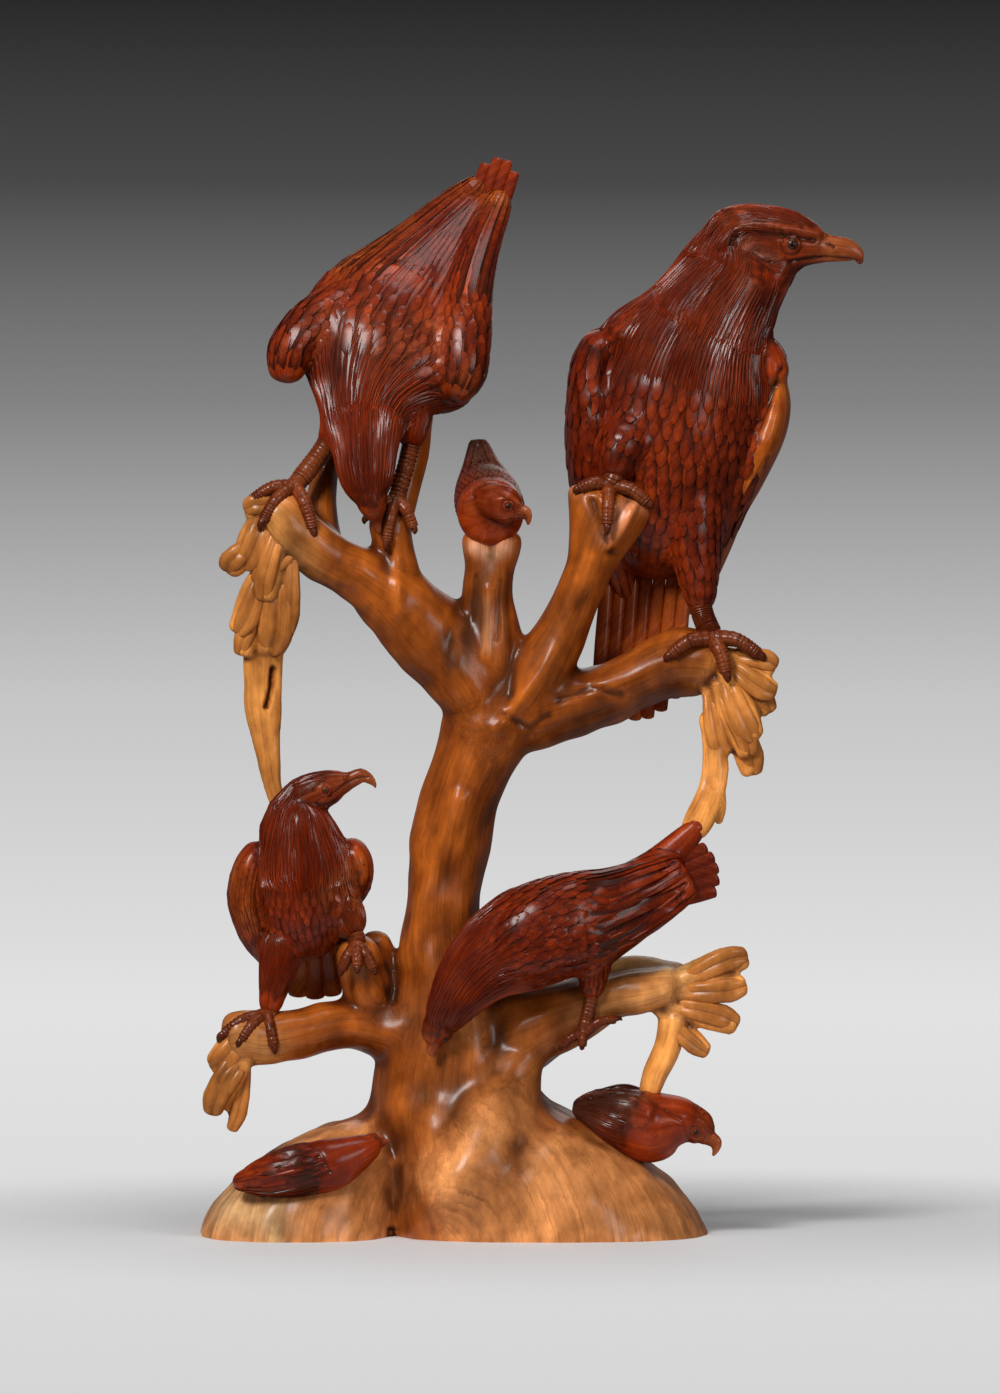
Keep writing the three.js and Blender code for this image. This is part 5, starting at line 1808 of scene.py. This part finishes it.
            StainAndPaintedLight(((228, 860), (234, 880), (244, 915)), 17, (0.36, 0.085, 0.011), 0.85),
            StainAndPaintedLight(((366, 855), (362, 870)), 12, (0.3, 0.065, 0.009), 0.6),
            StainAndPaintedLight(((330, 895), (345, 880), (352, 905)), 12, (0.27, 0.075, 0.02), 0.6),
            StainAndPaintedLight(((300, 790), (325, 783), (350, 770)), 8, (0.24, 0.05, 0.012), 0.5),
            StainAndPaintedLight(((332, 895), (346, 928)), 18, (0.27, 0.055, 0.008), 0.5),
        ],
        colours={"tail": (0.3, 0.07, 0.009)},
    ),
    Bird(
        name="feeding_eagle",
        voxel=1.8,
        budget=34_000,
        feather_size=0.85,
        body=[
            [-9.3, -8.6, 21.8, 1.6, 1.8], [-7.8, -8.8, 24.4, 2.5, 2.7], [-5.1, -8.8, 27.9, 3.8, 3.8],
            [-1, -8.6, 30.5, 5, 4.4], [3.4, -8, 32.1, 5, 4], [7.8, -7.2, 33.5, 4.2, 3.2],
            [12, -6.4, 35.5, 3.2, 2.2], [15.4, -5.8, 37.5, 2.4, 1.2],
        ],
        wings=[
            [
                [-3.8, -11.6, 28.6, 1.6, 1], [-1, -12.2, 30.4, 3.4, 1.3], [3.4, -11.6, 32.4, 3.8, 1.3],
                [8, -9.9, 33.4, 3.7, 1.2], [12.2, -8.1, 35.3, 3.1, 1], [15.6, -6.9, 37.1, 2.3, 0.7],
            ],
            [
                [-4, -5.2, 29, 1.8, 1], [-1.2, -4.6, 30.9, 3.5, 1.3], [3.2, -4.2, 32.2, 3.9, 1.3],
                [8, -4.2, 34, 3.2, 1.2], [12.2, -4.7, 36.4, 2.5, 1], [15.2, -5, 38.5, 1.7, 0.7],
            ],
        ],
        mantle=[
            [
                [9, -6, 35.4, 2, 1.4], [12.8, -5.8, 38, 1.9, 1.2], [15.2, -5.5, 40.4, 1.4, 1],
                [16.9, -5.4, 42.2, 0.9, 0.8],
            ],
        ],
        tail=Tail(
            root=[12, -6.2, 35.8], tip=[18.4, -5.4, 38.3], widths=[4.8, 6.8],
            thick=0.5, facing=[0.1, -1, 0], feathers=6,
        ),
        head=Head(
            at=[-9.1, -8.7, 21.9], size=1.6, facing=[-0.42, -0.06, -0.9],
            up=[-0.88, -0.2, 0.42], reach=0.75,
        ),
        legs=[
            Leg(
                thigh=[[6, -7, 30, 2.4, 2.4], [6.1, -7.2, 26.8, 1.4, 1.5], [5.9, -7.2, 24.8, 0.9, 1]],
                ankle=[5.2, -7, 21.4], thick=0.65,
                toes=[[9, -6.6, 22.6], [2.9, -6.6, 19.6], [5, -7.4, 19.7]],
            ),
        ],
        plumage=[
            Zone("hood", Feather.HACKLE, 0.14, 1.0, 0.9),
            Zone("body", Feather.HACKLE, 0.15, 0.4, 1.15),
            Zone("body", Feather.SCALE, 0.36, 0.62, 1.15),
            Zone("body", Feather.QUILL, 0.55, 1.0, quills=16),
            Zone("wing", Feather.SCALE, 0.0, 0.42),
            Zone("wing", Feather.QUILL, 0.36, 1.0, quills=16),
            Zone("thigh", Feather.SCALE, 0.05, 0.9, 0.7),
        ],
        bare=[(446, 1039, 5), (435, 1046, 8)],
        eyes=[Eye(446, 1039, 3.4)],
        marks=[
            Mark(((582, 893), (588, 912), (590, 934), (591, 952)), 2.2, 2.4),
            *grooves(
                1.8, 2.4,
                ((592, 900), (634, 882), (676, 862)),
                ((594, 914), (640, 892), (681, 868)),
                ((596, 928), (644, 902), (684, 876)),
                ((600, 941), (646, 914), (685, 884)),
                ((612, 950), (650, 926), (684, 893)),
            ),
        ],
    ),
    Bird(
        name="peering_bird",
        voxel=1.3,
        budget=24_000,
        feather_size=0.9,
        body=[
            [16.8, -4.8, 11.8, 1.8, 1.9], [14.6, -4.8, 12.4, 2.6, 2.6], [11.6, -4.4, 12, 3.7, 3.6],
            [8.6, -3.8, 12.8, 3, 3.6], [6, -3, 13.5, 1.6, 2.6], [4.2, -2.6, 13.8, 0.8, 1.4],
        ],
        wings=[
            [
                [12.2, -7.2, 12.6, 1.4, 1.1], [9.4, -6.8, 13.6, 1.8, 1.1], [6.6, -5.4, 14, 1.3, 0.9],
                [4.4, -4, 14, 0.6, 0.5],
            ],
            [
                [12.2, -2.4, 13.6, 1.4, 1.1], [9.4, -2, 14.2, 1.8, 1.3], [6.6, -2, 14.2, 1.3, 1.1],
                [4.6, -2.2, 14, 0.6, 0.6],
            ],
        ],
        head=Head(
            at=[16, -4.9, 12.2], size=1.8, facing=[0.84, -0.2, -0.5],
            up=[0.5, 0, 0.84], reach=0.85, brows=True, hook=1.5,
        ),
        plumage=[
            Zone("body", Feather.HACKLE, 0.5, 1.0, 0.8),
        ],
        eyes=[Eye(696, 1132, 3.6)],
        marks=[
            *grooves(
                2.2, 2.2,
                ((574, 1105), (600, 1097)),
                ((582, 1100), (612, 1093)),
                ((591, 1096), (624, 1090)),
                ((602, 1091), (636, 1088)),
                ((614, 1088), (646, 1089)),
            ),
            Mark(((612, 1115), (622, 1122), (619, 1134)), 2.4, 1.8),
            Mark(((668, 1112), (684, 1122), (688, 1140)), 2.4, 1.2),
        ],
        stains_and_painted_light=[StainAndPaintedLight(((580, 1105), (620, 1095)), 26, (0.06, 0.03, 0.018), 0.9)],
    ),
    Bird(
        name="resting_bird",
        voxel=1.2,
        budget=16_000,
        feather_size=0.9,
        body=[
            [-15, -9.6, 10.8, 0.9, 1], [-16.8, -10.2, 9.9, 1.7, 1.7], [-19.8, -10.8, 8.6, 2.6, 2.3],
            [-23.2, -11, 7.9, 2.6, 2.3], [-26.8, -10.8, 7.2, 1.7, 1.7], [-29.4, -10.4, 6.8, 0.6, 0.7],
        ],
        wings=[
            [
                [-19.8, -11.8, 8.8, 0.8, 1], [-22.4, -12.4, 8, 1.7, 1.3], [-25.4, -12.2, 7.4, 1.6, 1.2],
                [-29.2, -11, 6.7, 0.6, 0.6],
            ],
        ],
        head=Head(
            at=[-15.8, -9.8, 10.5], size=1.1, facing=[0.9, 0.1, 0.3],
            up=[-0.3, -0.3, 0.9], reach=0.7,
        ),
        plumage=[
            Zone("wing", Feather.QUILL, 0.1, 1.0, quills=12),
            Zone("body", Feather.QUILL, 0.45, 1.0, quills=12),
        ],
        eyes=[Eye(375, 1138, 2.2, through=False)],
        marks=[
            *grooves(
                1.8, 1.8,
                ((244, 1168), (272, 1152), (300, 1143)),
                ((248, 1173), (280, 1160), (310, 1150)),
                ((254, 1178), (290, 1168), (318, 1157)),
                ((262, 1183), (296, 1175), (324, 1165)),
                ((276, 1188), (304, 1182), (330, 1172)),
                ((242, 1163), (264, 1149), (288, 1138)),
            ),
            Mark(((300, 1141), (318, 1150), (330, 1171)), 2.2, 1.2),
        ],
    ),
]


class Studio:
    """Pale floor, soft lights and the camera at the viewer's place."""

    def floor(self) -> None:
        """Lay a round pale floor that fades out."""
        bm = bmesh.new()
        bmesh.ops.create_circle(bm, cap_ends=True, segments=96, radius=2.2)
        mesh = bpy.data.meshes.new("floor")
        bm.to_mesh(mesh)
        bm.free()
        floor = placed("floor", mesh)
        material = bpy.data.materials.new("pale_floor")
        wiring = Wiring(material)
        shader = wiring.nodes["Principled BSDF"]
        wiring.fill(shader, {"Base Color": (0.74, 0.74, 0.74, 1), "Roughness": 0.7})
        length = wiring.add("VectorMath", operation="LENGTH")
        wiring.link(wiring.add("TexCoord").outputs["Object"], length.inputs[0])
        fade = wiring.ranged(length.outputs["Value"], (0.34, 1.2), (1, 0), interpolation_type="SMOOTHSTEP")
        wiring.link(fade, shader.inputs["Alpha"])
        mesh.materials.append(material)

    def world(self) -> None:
        """Light the room softly, with painted falloff of light on a backdrop that darkens upward."""
        world = bpy.data.worlds.new("studio")
        bpy.context.scene.world = world
        wiring = Wiring(world)
        split = wiring.add("SeparateXYZ")
        wiring.link(wiring.add("TexCoord").outputs["Generated"], split.inputs[0])
        height = wiring.ranged(split.outputs["Z"], (-0.11, 0.11), (0, 1))
        ramp = wiring.add("ValToRGB")
        # Painted falloff of light: the backdrop's greys from its foot to its top
        stops = ((0.0, 0.66), (0.29, 0.76), (0.5, 0.56), (0.7, 0.225), (0.85, 0.065), (0.98, 0.02))
        for number, (place, grey) in enumerate(stops):
            stop = ramp.color_ramp.elements[number] if number < 2 else ramp.color_ramp.elements.new(place)
            stop.position = place
            stop.color = (grey, grey, grey, 1)
        wiring.link(height, ramp.inputs["Fac"])
        backdrop = wiring.nodes["Background"]
        wiring.link(ramp.outputs["Color"], backdrop.inputs["Color"])
        room = wiring.add("Background")
        wiring.fill(room, {"Color": (0.9, 0.93, 1, 1), "Strength": 0.1})
        mix = wiring.add("MixShader")
        wiring.link(wiring.add("LightPath").outputs["Is Camera Ray"], mix.inputs["Fac"])
        wiring.link(room.outputs[0], mix.inputs[1])
        wiring.link(backdrop.outputs[0], mix.inputs[2])
        wiring.link(mix.outputs[0], wiring.nodes["World Output"].inputs["Surface"])

    def lamp(self, name: str, place: tuple, width: float, power: float) -> None:
        """Hang one square soft light that points at the carving's middle."""
        light = bpy.data.lights.new(name, "AREA")
        light.size = width
        light.energy = power
        lamp = placed(name, light)
        lamp.location = place
        lamp.rotation_mode = "QUATERNION"
        lamp.rotation_quaternion = (Vector((0, 0, 0.65)) - Vector(place)).to_track_quat("-Z", "Y")

    def camera(self) -> None:
        """Set the camera level with the carving's middle."""
        data = bpy.data.cameras.new("camera")
        data.sensor_width = 36
        data.lens = 36 * CAMERA_DISTANCE / (VIEW_ROWS * FINE_LINE)
        data.clip_end = 100
        camera = placed("camera", data)
        camera.location = CAMERA_PLACE
        camera.rotation_euler = (math.pi / 2, 0, 0)
        bpy.context.scene.camera = camera

    def build(self) -> None:
        """Set up the whole studio."""
        self.floor()
        self.world()
        self.lamp("key", (-1.7, -3.1, 2.9), 1.2, 152)
        self.lamp("fill", (2.4, -3.4, 1.5), 1.2, 34)
        self.lamp("top", (0.2, -0.6, 3.2), 0.9, 16)
        self.lamp("back", (0.4, 3.2, 2.2), 2.0, 14)
        self.camera()
        bpy.context.scene.view_settings.view_transform = "Standard"


def main() -> None:
    """Build the carving and its studio."""
    logging.basicConfig(level=logging.INFO, format="%(message)s")
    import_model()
    Studio().build()
    Tree(BOUGHS, TIES, LOBES, TREE_MARKS, TREE_STAINS_AND_PAINTED_LIGHT).build(TREE_FINISH.material())
    wood = BIRD_FINISH.material()
    for bird in BIRDS:
        bird.build(wood)


if __name__ == "__main__":
    main()
